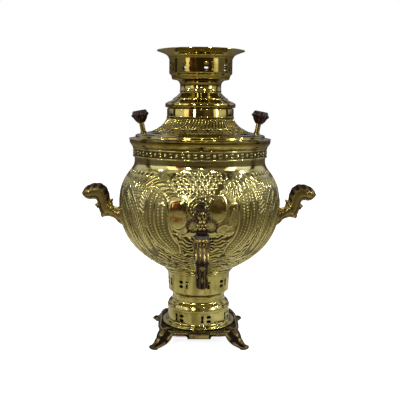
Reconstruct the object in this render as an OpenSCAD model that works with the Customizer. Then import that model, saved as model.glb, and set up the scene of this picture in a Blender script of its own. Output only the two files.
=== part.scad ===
// Charcoal samovar: lift-off crown and ring lid over a bulb-shaped water body with a fire tube,
// a plug-cock tap, a pierced pedestal and a cast base on four leaf feet.
// Millimetres, +Z up. The origin is on the turned axis, on the plane that the feet stand on.
// The tap looks along -Y and the handles lie along X.

/* [Base] */
// Height of the cast base's top face above the table
base_h = 23; // [20:0.5:30]
// Half the width of the base across its straight sides
base_half = 60; // [57:0.5:68]
// Radius of the base's rounded corners
base_corner_r = 32; // [24:1:36]
// Thickness of the base's top plate
base_plate_t = 4; // [3:0.25:5]
// Radius of the hole through the middle of the base
base_hole_r = 18; // [12:1:21]
// Width of the square tab in the middle of each side
tab_w = 33; // [24:1:40]
// Height of that tab's face
tab_h = 10; // [7:0.5:12]
// Depth of that tab, front to back
tab_d = 9; // [6:0.5:12]
// Radius from the axis to the tips of the toes
toe_r = 100; // [95:1:112]
// Width of a foot where it leaves the base
foot_w = 25; // [20:1:28]
// Width of a foot at the toe
toe_w = 13; // [10:1:16]

/* [Pedestal] */
// Radius of the pedestal's spreading lip
lip_r = 54.5; // [52.5:0.5:57]
// Height of the base ring under the lower gallery
ring_h = 6.5; // [6.5:0.5:9]
// Outer radius of the lower gallery
drum_r = 46.4; // [44.5:0.2:48]
// Height of the lower gallery
drum_h = 16.5; // [15.5:0.5:24]
// Radius of the waist
waist_r = 39.8; // [36:0.2:42]
// Height of the waist piece
waist_h = 30; // [28:0.5:40]
// How much smaller the upper gallery's foot is than the lower gallery, in radius
gallery_step = 0.6; // [0:0.1:2]
// How much the upper gallery widens from its foot to its top, in radius
gallery_flare = 1.2; // [0:0.1:2.5]
// Height of the upper gallery
gallery_h = 26.5; // [22:0.5:34]
// Wall of the pedestal's spun pieces
pedestal_t = 1.2; // [0.8:0.1:1.6]
// Number of vent groups round the upper gallery
upper_vents = 9; // [6:1:10]
// Number of vent groups round the lower gallery
lower_vents = 7; // [5:1:9]
// Height of a vent slot in the pedestal
vent_h = 11; // [8:0.5:13]
// Height of the ring moulding under the bulb
foot_ring_h = 7.5; // [7:0.25:9]

/* [Body] */
// Greatest radius of the bulb
bulb_r = 120; // [114:1:130]
// Height of the bulb, from its foot to the neck
bulb_h = 153; // [145:1:170]
// Height of the widest place above the bulb's foot
belly_h = 94; // [86:1:104]
// Radius of the bulb's foot
bulb_foot_r = 52.5; // [51:0.5:58]
// Outer radius of the neck
neck_r = 96.5; // [92:0.5:100]
// Height of the neck, up to the mouth
neck_h = 27; // [22:0.5:36]
// Wall of the body's sheet
shell_t = 1.5; // [1:0.1:2]
// Width of the flange turned out round the mouth
mouth_flange_w = 3; // [2:0.25:4]
// Height of the beaded band under that flange
band_h = 13.5; // [9:0.5:15]
// Thickness of the beaded band
band_t = 1.6; // [1:0.1:2]

/* [Fire] */
// Outer radius of the fire tube above the water
tube_r = 26; // [22:0.5:28]
// Outer radius of the fire tube at the grate
firebox_r = 38; // [35.5:0.5:41]
// Wall of the fire tube
tube_t = 1.5; // [1:0.1:2.5]
// Length of the fire tube's straight part below the mouth
tube_below = 30; // [20:1:50]
// Height of the fire tube above the lid's collar
tube_rise = 29; // [24:1:34]
// Thickness of the grate
grate_t = 3; // [2:0.5:5]
// Width of the gaps in the grate
grate_gap = 4; // [3:0.5:5]

/* [Lid] */
// Radius of the lid's edge
lid_r = 104.5; // [103:0.5:110]
// Height of the lid's edge above the mouth
lid_edge_h = 11; // [8:0.5:12]
// Width of the lid's low brim
brim_w = 9; // [7:0.5:11]
// Height of the step from the brim up to the flange
brim_step = 3.6; // [2:0.2:5]
// Slope of the lid's brim and flange, in degrees
lid_slope = 11; // [8:1:14]
// Radius where the embossed shoulder starts
shoulder_r = 77.5; // [75.5:0.5:80]
// Height of the lid from its seat to the top of its collar
lid_h = 55; // [52:1:66]
// Radius of the lid's collar
collar_r = 49; // [44:0.5:51]
// Height of the straight part of the collar
collar_h = 14; // [10:0.5:18]
// Wall of the lid's sheet
lid_t = 1.2; // [0.8:0.1:1.6]
// Depth of the ring under the lid that enters the mouth
spigot_h = 8; // [5:0.5:12]
// Radius from the axis to the foot of each knob's stem
knob_at = 83.5; // [82.5:0.5:86]
// Radius of a knob's stem
stem_r = 3.7; // [3:0.1:4.4]
// Length of a knob's stem above the lid
stem_h = 15; // [10:0.5:20]
// Greatest radius of a knob
knob_r = 13.5; // [11:0.5:16]
// Height of a knob
knob_h = 18.5; // [14:0.5:24]

/* [Crown] */
// Height of the crown's stepped skirt
skirt_h = 23; // [21:0.5:30]
// Radius of the rolled ring round the skirt's foot
roll_r = 51.5; // [51:0.5:55]
// Height of the crown's neck and bowl
bowl_h = 28; // [26:0.5:36]
// Radius of the crown's gallery
crown_r = 46; // [43:0.5:50]
// Height of the crown's gallery
crown_band_h = 19; // [18:0.5:26]
// Radius of the crown's rim
rim_r = 64; // [58:0.5:72]
// Height of the rim's flare
rim_h = 12.1; // [10:0.5:18]
// Wall of the crown's sheet
crown_t = 1.1; // [0.8:0.1:1.4]
// Number of vent groups round the crown
crown_vents = 9; // [6:1:10]

/* [Handles] */
// Height of the handles' studs above the bulb's foot
handle_h = 75; // [70:1:82]
// How far a handle reaches out from the bulb's side
handle_reach = 56.5; // [50:0.5:66]
// How far a handle rises above its stud
handle_rise = 47; // [40:0.5:56]
// Front-to-back thickness of a handle
handle_t = 16; // [13:0.5:18]
// Radius of a handle's stud
stud_r = 3; // [2:0.25:4]

/* [Tap] */
// Height of the tap's shank above the bulb's foot
tap_h = 55; // [50:1:62]
// Width of the key across its side lobes
key_w = 44.4; // [38:0.2:50]
// Height of the key above the plug's shoulder
key_h = 43; // [40:0.5:48]
// Thickness of the key
key_t = 5; // [4:0.25:6]
// Radius of the barrel
barrel_r = 10.5; // [10:0.25:12]
// Height of the barrel
barrel_h = 30; // [28:0.5:34]
// Radius of the plug at the top of its taper
plug_top_r = 7.5; // [7:0.1:8]
// Radius of the plug at the bottom of its taper
plug_low_r = 6.3; // [6:0.1:6.8]
// Radius of the water way
port_r = 4; // [3:0.25:4.2]
// Radius of the bore down the spout
outlet_r = 4.5; // [4.3:0.1:5]
// Radius of the shank through the body's wall
shank_r = 8; // [7.5:0.1:9]
// Width of the spout across its flats
spout_w = 17; // [15:0.25:19]
// Drop from the shank's axis to the spout's mouth
spout_drop = 45; // [40:0.5:50]
// Width of the leaf-shaped plate behind the tap
plate_w = 36; // [32:0.5:42]
// Height of that plate
plate_h = 30; // [28:0.5:36]
// Thickness of that plate
plate_t = 2; // [1.5:0.1:3]

/* [Clearances] */
// Sliding gap all round the lid's spigot
spigot_gap = 0.8; // [0.5:0.1:1.5]
// Gap all round the fire tube in the lid and in the crown
tube_gap = 3; // [2:0.1:3.4]
// Running gap of the ground plug in its barrel
plug_gap = 0.05; // [0.02:0.01:0.09]
// Gap between pieces that are seated on each other's curves
seat_gap = 0.05; // [0.02:0.01:0.1]
// Gap between the key's lobe and the bulb as the key turns
key_gap = 3.8; // [2:0.1:8]
// Gap all round screws and studs in their holes
hole_gap = 0.2; // [0.1:0.05:0.4]

/* [Hidden] */
$fn = 96;
brass = "#b5a24a";
bronze = "#5d4a26";
dark_red = "#2a1512";
iron = "#3a3a3c";
fibre = "#6b5a48";

// Heights of the seams, from the table up
z_ring = base_h;
z_drum = z_ring + ring_h;
z_waist = z_drum + drum_h;
z_gallery = z_waist + waist_h;
z_foot_ring = z_gallery + gallery_h;
z_bulb = z_foot_ring + foot_ring_h;
z_neck = z_bulb + bulb_h;
z_mouth = z_neck + neck_h;
z_collar_top = z_mouth + lid_h;
z_crown_neck = z_collar_top + skirt_h;
z_crown_band = z_crown_neck + bowl_h;
z_rim = z_crown_band + crown_band_h;
z_tube_top = z_collar_top + tube_rise;
z_tube = z_bulb + shell_t;
z_handle = z_bulb + handle_h;
z_tap = z_bulb + tap_h;

// Radius of the bulb's side against the height above its foot
bulb_radii = [for (p = bulb_line()) [p[1], p[0]]];

// Base
base_corner_reach = base_half * sqrt(2) - base_corner_r * (sqrt(2) - 1);
plate_z = base_h - base_plate_t;
tab_proud = 1.2;
tab_fillet = 6;
base_screw_r = 1.5;
base_screw_head = [2.8, 2];
base_screw_grip = 3;
base_screw_at = drum_r + 1.1;
base_screw_turn = 30;
foot_screw_r = 1.8;
foot_screw_head = [3.2, 2.2];
foot_screw_grip = 3;
foot_lug_t = 4;
foot_lug_w = 14;
foot_screw_at = base_corner_reach - 17.6;
foot_pad = [5, 1.5];

// Pedestal
drum_in_r = drum_r - pedestal_t;
gallery_low_r = drum_r - gallery_step;
gallery_top_r = gallery_low_r + gallery_flare;
lip_round = 1.3;
ring_foot_w = 3.6;
ash_gap = 0.6;
ash_plate_t = 1.2;
ash_plate_rim = 3;
foot_ring_in_r = gallery_top_r - 3;
vent_step = 9.6;

// Body and fire tube
fire_hole_r = firebox_r - 4.5;
ledge_w = 3.5;
firebox_h = 14;
tube_flange_w = 4;
tube_straight_z = z_mouth - tube_below;
grate_z = z_tube + 3;
grate_loose = 0.4;

// Lid
lid_hole_r = tube_r + tube_gap;
spigot_r = neck_r - shell_t - spigot_gap;
rim_t = 1.4;
stem_hole_r = 2.4 + hole_gap;
stem_tail = [2.4, 8];
stem_collar = [4.6, 2];
stem_tenon = [2, 10];
knob_washer = [6, 1];
knob_nut = [5, 4];
knob_flutes = 8;

// Crown
crown_neck_r = tube_r + tube_gap + crown_t;

// Handles
handle_root_x = bulb_r_at(handle_h);
handle_washer_r = 8;
handle_seat_x = bulb_r_at(handle_h - handle_washer_r) - shell_t - 1.5;
handle_nut = [6, 5];
stud_end = 2;

// Tap
plug_y = bulb_r + key_gap + key_w / 2;
spout_y = plug_y + barrel_r + spout_w / 2 + 1.5;
tap_flange_r = 12;
tap_seal = [13, 2];
tap_nut = [13.5, 6];
tap_seat_y = bulb_r_at(tap_h - tap_seal[0]) - shell_t - 1.5;
shank_in_y = tap_seat_y - tap_seal[1] - tap_nut[1] - 2;
plug_shoulder = [9.5, 5];
plug_tang = [5, 4];
plug_tail = [4, 8.6];
plug_washer = [barrel_r - 2.6, 1.2];
plug_nut = [7, 5];
key_foot_z = z_tap + barrel_h / 2 + plug_shoulder[1];

// Points along an arc, angles in degrees
function arc(cx, cz, r, a0, a1, n = 8) =
    [for (i = [0:n]) let (a = a0 + (a1 - a0) * i / n) [cx + r * cos(a), cz + r * sin(a)]];

// Cubic curve from p0 to p3 with the handles p1 and p2
function curve(p0, p1, p2, p3, n = 10) =
    [for (i = [0:n]) let (t = i / n, s = 1 - t)
        s * s * s * p0 + 3 * s * s * t * p1 + 3 * s * t * t * p2 + t * t * t * p3];

function unit(v) = v / norm(v);
function side_of(a, b) = let (d = unit(b - a)) [-d[1], d[0]];

// The inner face of a sheet of thickness w: the line moved to its left, mitred at its corners
function inner_face(p, w) = [for (i = [0:len(p) - 1])
    let (n0 = side_of(p[max(i - 1, 0)], p[max(i, 1)]),
         n1 = side_of(p[min(i, len(p) - 2)], p[min(i + 1, len(p) - 1)]))
    p[i] + (n0 + n1) * w / (1 + n0 * n1)];

// The same, but level at both ends, for a piece that stands on the next one
function level_face(p, w) = let (q = inner_face(p, w), e = len(p) - 1)
    [for (i = [0:e]) i == 0 || i == e ? p[i] - [w, 0] : q[i]];

function reversed(p) = [for (i = [len(p) - 1:-1:0]) p[i]];
function raised(p, z) = [for (q = p) q + [0, z]];

// A piece spun from sheet: its outer line turned round the axis
module spun(outer, inner) {
    rotate_extrude() polygon(concat(outer, reversed(inner)));
}

module turned(outline) {
    rotate_extrude() polygon(outline);
}

// Outer line of the bulb and the neck, measured from the bulb's foot
function bulb_line() = concat(
    curve([bulb_foot_r, 0], [bulb_foot_r + 32.6, 15.2], [bulb_r, belly_h - 52], [bulb_r, belly_h], 14),
    [for (i = [1:10]) curve([bulb_r, belly_h], [bulb_r, belly_h + 40],
        [neck_r + 5, bulb_h - 10.4], [neck_r + 1.2, bulb_h])[i]],
    [[neck_r, bulb_h + 5]]);

// Radius of the bulb's side at a height above its foot
function bulb_r_at(h) = lookup(h, bulb_radii);

// The bulb as a full solid, its side moved outward by grow
module bulb_solid(grow) {
    line = inner_face(bulb_line(), -grow);
    rotate_extrude($fn = 240)
        polygon(raised(concat([[0, line[0][1]]], line, [[0, line[len(line) - 1][1]]]), z_bulb));
}

// Two stacked bean-shaped holes and a pinched slot, drawn flat; side puts the slot right or left
module vent_shape(side, h) {
    bean = [7, 0.42 * h];
    for (up = [-1, 1])
        translate([-side * vent_step / 2, up * (h - bean[1]) / 2 * 1.05]) {
            for (end = [-1, 1])
                translate([end * (bean[0] - bean[1]) / 2, 0]) circle(d = bean[1], $fn = 24);
            square([bean[0] - bean[1], bean[1]], center = true);
        }
    translate([side * vent_step / 2, 0])
        polygon([[-2.1, -h / 2], [2.1, -h / 2], [1.9, -h / 6], [1, 0], [1.9, h / 6], [2.1, h / 2],
                 [-2.1, h / 2], [-1.9, h / 6], [-1, 0], [-1.9, -h / 6]]);
}

// Cutters for the vent groups round a gallery of radius r
module vent_cutters(r, z, count, phase, side, h) {
    for (i = [0:count - 1])
        rotate([0, 0, phase + i * 360 / count])
            translate([0, -r + 4, z]) rotate([90, 0, 0])
                linear_extrude(height = 8) vent_shape(side, h);
}

// A tapering body swept through stations [x, z, half depth, half width] in the XZ plane
function station_dir(st, i) = let (a = st[max(i - 1, 0)], b = st[min(i + 1, len(st) - 1)])
    unit([b[0] - a[0], b[1] - a[1]]);
function station_ring(st, i, ring) = let (d = station_dir(st, i))
    [for (q = ring) [st[i][0] - d[1] * q[0] * st[i][2], q[1] * st[i][3], st[i][1] + d[0] * q[0] * st[i][2]]];
module swept(st, ring) {
    n = len(ring);
    e = len(st) - 1;
    points = [for (i = [0:e]) each station_ring(st, i, ring)];
    sides = [for (i = [0:e - 1], k = [0:n - 1]) let (m = (k + 1) % n, a = i * n, b = a + n)
        each [[a + k, a + m, b + m], [a + k, b + m, b + k]]];
    polyhedron(points, concat(sides, [[for (k = [n - 1:-1:0]) k]], [[for (k = [0:n - 1]) e * n + k]]));
}
function round_ring(n) = [for (k = [0:n - 1]) [cos(360 * k / n), sin(360 * k / n)]];

// ---- Crown ----

module crown_rim() {
    flare = curve([crown_r + 2.4, 4.6], [crown_r + 4.6, 7.6], [rim_r - 9, rim_h - 3], [rim_r, rim_h]);
    line = concat([[crown_r, 0], [crown_r, 0.6], [crown_r + 0.9, 1.6], [crown_r + 0.9, 2.8]], flare);
    inner = inner_face(line, crown_t);
    color(brass) spun(raised(line, z_rim), raised(concat([line[0] - [crown_t, 0]],
        [for (i = [1:len(inner) - 1]) inner[i]]), z_rim));
}

module crown_gallery() {
    line = [[crown_r, z_crown_band], [crown_r, z_rim]];
    color(brass) difference() {
        spun(line, level_face(line, crown_t));
        vent_cutters(crown_r, z_crown_band + crown_band_h / 2 - 1.5, crown_vents, 14, 1, vent_h + 1);
    }
}

module crown_neck() {
    bulge = crown_r - 3.7;
    line = concat([[crown_neck_r, 0], [crown_neck_r, 10]],
        [for (i = [1:8]) arc(crown_neck_r + 8, 10, 8, 180, 95)[i]],
        [[bulge - 1, bowl_h - 9.4], [bulge, bowl_h - 7.6], [bulge + 0.3, bowl_h - 5.4],
         [crown_r - 1.4, bowl_h - 2.4], [crown_r, bowl_h - 1], [crown_r, bowl_h]]);
    color(brass) spun(raised(line, z_crown_neck), raised(level_face(line, crown_t), z_crown_neck));
}

module crown_skirt() {
    seat_r = collar_r - 1.6;
    line = [[seat_r - 5.4, 0], [seat_r, 0], [seat_r + 0.5, 1], [roll_r - 1.5, 1], [roll_r, 2.5], [roll_r, 6.5],
        [roll_r - 1.5, 8], [seat_r + 0.2, 9.5], [seat_r - 5, 11.5], [seat_r - 7.2, 13], [seat_r - 7.2, 14.2],
        [crown_neck_r + 6.6, skirt_h - 6.5], [crown_neck_r + 3.6, skirt_h - 4],
        [crown_neck_r + 1.2, skirt_h - 1.6], [crown_neck_r, skirt_h - 0.4], [crown_neck_r, skirt_h]];
    inner = inner_face(line, crown_t);
    color(brass) spun(raised(line, z_collar_top), raised(concat([for (i = [0:len(line) - 2]) inner[i]],
        [line[len(line) - 1] - [crown_t, 0]]), z_collar_top));
}

// ---- Lid ----

// Height of the flange's top face at a radius, above the mouth
function brim_top(r) = lid_edge_h + (lid_r - r) * tan(lid_slope);
function flange_top(r) = brim_top(r) + brim_step;
function brim_under(r) = brim_top(r) - lid_t / cos(lid_slope);

module at_knob(side) {
    translate([side * knob_at, 0, z_mouth + flange_top(knob_at)])
        rotate([0, side * lid_slope, 0]) children();
}

module lid_cover() {
    step_r = lid_r - brim_w;
    top_of_flange = flange_top(shoulder_r);
    collar_z = lid_h - collar_h;
    line = concat([[lid_r, lid_edge_h], [step_r, brim_top(step_r)], [step_r - 0.5, flange_top(step_r) - 0.9],
        [step_r - 1.4, flange_top(step_r - 1.4)], [shoulder_r, top_of_flange],
        [shoulder_r - 1, top_of_flange + 0.6]],
        [for (i = [1:8]) curve([shoulder_r - 1, top_of_flange + 0.6], [shoulder_r - 8, top_of_flange + 1.6],
            [collar_r + 17, collar_z - 17], [collar_r + 10, collar_z - 12.6], 8)[i]],
        [for (i = [0:8]) curve([collar_r + 9, collar_z - 11.6], [collar_r + 4.6, collar_z - 8],
            [collar_r + 1.5, collar_z - 4], [collar_r + 0.4, collar_z], 8)[i]],
        [[collar_r, collar_z + 1], [collar_r, lid_h], [lid_hole_r, lid_h]]);
    color(brass) difference() {
        spun(raised(line, z_mouth), raised(inner_face(line, lid_t), z_mouth));
        for (side = [-1, 1])
            at_knob(side) translate([0, 0, -5]) cylinder(r = stem_hole_r, h = 10);
    }
}

module lid_rim() {
    top_r = lid_r - lid_t * sin(lid_slope) - 0.6;
    line = [[spigot_r, -spigot_h], [spigot_r, 0], [neck_r + mouth_flange_w + 0.4, 0], [top_r - 2.4, 2],
        [top_r - 0.4, 5], [top_r, 8], [top_r, brim_under(top_r)]];
    inner = inner_face(line, rim_t);
    color(brass) spun(raised(line, z_mouth), raised(concat([for (i = [0:5]) inner[i]],
        [[top_r - rim_t, brim_under(top_r - rim_t)]]), z_mouth));
}

module lid_knob(side) {
    profile = [[0, 0], [4.7, 0], [6.5, knob_h * 0.08], [knob_r * 0.67, knob_h * 0.27],
        [knob_r * 0.83, knob_h * 0.49], [knob_r, knob_h * 0.62], [knob_r * 0.93, knob_h * 0.71],
        [knob_r * 0.78, knob_h * 0.97], [knob_r * 0.72, knob_h], [0, knob_h]];
    color(dark_red) at_knob(side) translate([0, 0, stem_h]) difference() {
        turned(profile);
        translate([0, 0, -1]) cylinder(r = stem_tenon[0] + seat_gap, h = stem_tenon[1] + 1 + seat_gap);
        for (i = [0:knob_flutes - 1])
            rotate([0, 0, (i + 0.5) * 360 / knob_flutes])
                translate([knob_r + 1.6, 0, -1]) cylinder(r = 2.8, h = knob_h + 2, $fn = 24);
    }
}

module knob_stem(side) {
    color(brass) at_knob(side) {
        translate([0, 0, seat_gap]) cylinder(r = stem_collar[0], h = stem_collar[1]);
        translate([0, 0, seat_gap]) cylinder(r = stem_r, h = stem_h - seat_gap);
        translate([0, 0, stem_h]) cylinder(r = stem_tenon[0], h = stem_tenon[1]);
        translate([0, 0, -stem_tail[1]]) cylinder(r = stem_tail[0], h = stem_tail[1] + 1);
    }
}

knob_washer_z = -lid_t - 0.3 - knob_washer[1];

module knob_washers() {
    color(brass) for (side = [-1, 1]) at_knob(side) translate([0, 0, knob_washer_z]) difference() {
        cylinder(r = knob_washer[0], h = knob_washer[1]);
        translate([0, 0, -1]) cylinder(r = stem_tail[0] + seat_gap, h = knob_washer[1] + 2);
    }
}

module knob_nuts() {
    color(brass) for (side = [-1, 1]) at_knob(side) translate([0, 0, knob_washer_z - knob_nut[1]]) difference() {
        cylinder(r = knob_nut[0], h = knob_nut[1], $fn = 6);
        translate([0, 0, -1]) cylinder(r = stem_tail[0] + seat_gap, h = knob_nut[1] + 2);
    }
}

// ---- Body and fire tube ----

module body_shell() {
    line = concat([[fire_hole_r, 0]], bulb_line(), [[neck_r, bulb_h + neck_h]]);
    flange_z = z_mouth - shell_t;
    color(brass) difference() {
        union() {
            spun(raised(line, z_bulb), raised(inner_face(line, shell_t), z_bulb));
            turned([[neck_r - 0.5, flange_z], [neck_r + mouth_flange_w, flange_z],
                [neck_r + mouth_flange_w, z_mouth], [neck_r - 0.5, z_mouth]]);
        }
        for (side = [-1, 1])
            translate([side * handle_root_x, 0, z_handle]) rotate([0, 90, 0])
                cylinder(r = stud_r + hole_gap, h = 30, center = true);
        translate([0, -tap_seat_y, z_tap]) rotate([90, 0, 0])
            cylinder(r = shank_r + hole_gap, h = 40, center = true);
    }
}

module collar_band() {
    in_r = neck_r + seat_gap;
    out_r = in_r + band_t;
    top = z_mouth - shell_t;
    foot = top - band_h;
    color(brass) turned(concat([[in_r, foot], [out_r, foot]], arc(out_r, foot + 1, 1, -90, 90),
        arc(out_r, top - 1, 1, -90, 90), [[in_r, top]]));
}

module body_foot_ring() {
    first_r = 2;
    second_r = foot_ring_h / 2 - first_r;
    color(brass) turned(raised(concat([[foot_ring_in_r, 0]],
        arc(gallery_top_r + 0.4, first_r, first_r, -90, 90),
        arc(bulb_foot_r - second_r - 0.2, 2 * first_r + second_r, second_r, -90, 90),
        [[bulb_foot_r - second_r - 0.2, foot_ring_h], [foot_ring_in_r, foot_ring_h]]), z_foot_ring));
}

module fire_tube() {
    bore = firebox_r - tube_t;
    color("#8a7440") turned([[bore - ledge_w, z_tube], [firebox_r + tube_flange_w, z_tube],
        [firebox_r + tube_flange_w, z_tube + 1.5], [firebox_r, z_tube + 1.5], [firebox_r, z_tube + firebox_h],
        [tube_r, tube_straight_z], [tube_r, z_tube_top], [tube_r - tube_t, z_tube_top],
        [tube_r - tube_t, tube_straight_z], [bore, z_tube + firebox_h], [bore, grate_z],
        [bore - ledge_w, grate_z]]);
}

module grate() {
    r = firebox_r - tube_t - grate_loose;
    bar = 3.5;
    pitch = bar + grate_gap;
    rows = floor((r - 6) / pitch);
    color(iron) translate([0, 0, grate_z]) difference() {
        cylinder(r = r, h = grate_t);
        for (i = [-rows:rows]) {
            half = sqrt(pow(r - 4, 2) - pow(abs(i) * pitch + grate_gap / 2, 2));
            translate([0, i * pitch, grate_t / 2]) cube([2 * half, grate_gap, grate_t + 2], center = true);
        }
    }
}

// ---- Handles ----

// Scale from the drawn handle to the asked reach and rise
function hx(d) = handle_root_x + d * handle_reach / 56.5;
function hz(d) = z_handle + d * handle_rise / 47;

module handle() {
    half = handle_t / 2;
    stations = [[hx(-6), hz(0), 12.5, half + 2], [hx(0), hz(0.4), 12.2, half + 2], [hx(4.5), hz(2.4), 10, half + 0.4],
        [hx(9.5), hz(4.8), 7.9, half], [hx(15), hz(6.6), 8.6, half], [hx(20.4), hz(10.2), 9.6, half],
        [hx(23), hz(17), 9.4, half - 0.2], [hx(24.8), hz(25), 9.6, half - 0.4], [hx(28), hz(32.4), 10.8, half - 0.4],
        [hx(33.8), hz(37), 10.8, half - 0.2], [hx(40.8), hz(37.4), 10.4, half], [hx(47.4), hz(35.2), 9.8, half],
        [hx(53), hz(32.8), 7.6, half * 0.8], [hx(56.2), hz(31.6), 3.6, half * 0.42]];
    color(bronze) {
        difference() {
            union() {
                swept(stations, round_ring(20));
                translate([hx(18.6), 0, hz(21.4)]) rotate([0, -66, 0]) cylinder(r1 = 5.5, r2 = 1.2, h = 9.4, $fn = 24);
                translate([hx(32), 0, hz(15.5)]) rotate([0, 80, 0]) cylinder(r1 = 6, r2 = 1.5, h = 6.6, $fn = 24);
                translate([hx(22), 0, hz(3)]) rotate([0, 145, 0]) cylinder(r1 = 6, r2 = 1.5, h = 6, $fn = 24);
            }
            bulb_solid(seat_gap);
        }
        translate([handle_seat_x - handle_nut[1] - stud_end, 0, z_handle]) rotate([0, 90, 0])
            cylinder(r = stud_r, h = handle_root_x + 4 - (handle_seat_x - handle_nut[1] - stud_end));
    }
}

module handle_left() { rotate([0, 0, 180]) handle(); }
module handle_right() { handle(); }

module handle_washers() {
    color(brass) for (turn = [0, 180]) rotate([0, 0, turn]) intersection() {
        bulb_solid(-shell_t - seat_gap);
        translate([handle_seat_x, 0, z_handle]) rotate([0, 90, 0]) difference() {
            cylinder(r = handle_washer_r, h = 20);
            translate([0, 0, -1]) cylinder(r = stud_r + seat_gap, h = 22);
        }
    }
}

module handle_nuts() {
    color(brass) for (turn = [0, 180]) rotate([0, 0, turn])
        translate([handle_seat_x - handle_nut[1], 0, z_handle]) rotate([0, 90, 0]) difference() {
            cylinder(r = handle_nut[0], h = handle_nut[1], $fn = 6);
            translate([0, 0, -1]) cylinder(r = stud_r + seat_gap, h = handle_nut[1] + 2);
        }
}

// ---- Tap ----

// Children drawn with their Z axis pointing outward along the shank, z = 0 on the samovar's axis
module along_shank() {
    translate([0, 0, z_tap]) rotate([90, 0, 0]) children();
}

module backplate_shape() {
    scallops = 9;
    polygon([for (i = [0:71]) let (a = 5 * i, s = 1 + 0.035 * cos(scallops * (a - 90)))
        [plate_w / 2 * s * cos(a), plate_h / 2 * s * sin(a)]]);
}

module tap_backplate() {
    color(bronze) intersection() {
        difference() {
            bulb_solid(plate_t + seat_gap);
            bulb_solid(seat_gap);
        }
        along_shank() difference() {
            linear_extrude(height = plug_y) backplate_shape();
            cylinder(r = shank_r + hole_gap, h = plug_y);
        }
    }
}

module spout_section() { circle(d = spout_w / cos(22.5), $fn = 8); }

module tap_body() {
    half = spout_w / 2;
    nose = 4;
    reach = spout_y - plug_y;
    color(bronze) {
        difference() {
            union() {
                translate([0, -plug_y, z_tap - barrel_h / 2]) cylinder(r = barrel_r, h = barrel_h);
                difference() {
                    along_shank() cylinder(r = tap_flange_r, h = plug_y - barrel_r / 2);
                    bulb_solid(plate_t + 2 * seat_gap);
                    along_shank() translate([0, 0, tap_flange_y()]) difference() {
                        cylinder(r = plug_y, h = plug_y);
                        translate([0, 0, -1]) cylinder(r = shank_r, h = plug_y + 2);
                    }
                }
                along_shank() translate([0, 0, shank_in_y]) cylinder(r = shank_r, h = plug_y - shank_in_y);
                // forward neck of the spout, mitred into the drop
                intersection() {
                    along_shank() translate([0, 0, plug_y]) rotate([0, 0, 22.5])
                        linear_extrude(height = reach + half) spout_section();
                    spout_mitre(1);
                }
                intersection() {
                    translate([0, -spout_y, z_tap - spout_drop + nose]) rotate([0, 0, 22.5])
                        linear_extrude(height = spout_drop + half) spout_section();
                    spout_mitre(-1);
                }
                translate([0, -spout_y, z_tap - spout_drop]) cylinder(r1 = half - 2.6, r2 = half - 0.6, h = nose);
            }
            translate([0, -plug_y, z_tap - barrel_h / 2 - 0.01])
                cylinder(r1 = plug_low_r + plug_gap, r2 = plug_top_r + plug_gap, h = barrel_h + 0.02);
            along_shank() translate([0, 0, shank_in_y - 1]) cylinder(r = port_r, h = spout_y - shank_in_y + 1);
            translate([0, -spout_y, z_tap - spout_drop - 1]) cylinder(r = outlet_r, h = spout_drop + 1.5 + port_r);
        }
    }
}

// Where the tap's flange ends, out along the shank
function tap_flange_y() = bulb_r_at(tap_h + tap_flange_r) + plate_t + 3;

// The half space on one side of the spout's 45 degree mitre
module spout_mitre(side) {
    translate([0, -spout_y, z_tap]) rotate([45, 0, 0])
        translate([-40, side > 0 ? 0 : -80, -80]) cube([80, 80, 160]);
}

module tap_saddle() {
    color(brass) intersection() {
        bulb_solid(-shell_t - seat_gap);
        along_shank() translate([0, 0, tap_seat_y]) difference() {
            cylinder(r = tap_seal[0], h = 40);
            translate([0, 0, -1]) cylinder(r = shank_r + seat_gap, h = 42);
        }
    }
}

module tap_seal() {
    color(fibre) along_shank() translate([0, 0, tap_seat_y - tap_seal[1]]) difference() {
        cylinder(r = tap_seal[0], h = tap_seal[1]);
        translate([0, 0, -1]) cylinder(r = shank_r + seat_gap, h = tap_seal[1] + 2);
    }
}

module tap_locknut() {
    color(brass) along_shank() translate([0, 0, tap_seat_y - tap_seal[1] - tap_nut[1]]) difference() {
        cylinder(r = tap_nut[0], h = tap_nut[1], $fn = 6);
        translate([0, 0, -1]) cylinder(r = shank_r + seat_gap, h = tap_nut[1] + 2);
    }
}

module tap_plug() {
    shoulder_z = barrel_h / 2 + plug_gap;
    color("#9c9683") translate([0, -plug_y, z_tap]) {
        difference() {
            translate([0, 0, -barrel_h / 2]) cylinder(r1 = plug_low_r, r2 = plug_top_r, h = barrel_h + plug_gap);
            rotate([0, 90, 0]) cylinder(r = port_r, h = 40, center = true);
        }
        translate([0, 0, shoulder_z]) cylinder(r = plug_shoulder[0], h = plug_shoulder[1] - plug_gap);
        translate([-plug_tang[0] / 2, -plug_tang[0] / 2, shoulder_z])
            cube([plug_tang[0], plug_tang[0], plug_shoulder[1] - plug_gap + plug_tang[1]]);
        translate([0, 0, -barrel_h / 2 - plug_tail[1]]) cylinder(r = plug_tail[0], h = plug_tail[1] + 1);
    }
}

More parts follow.
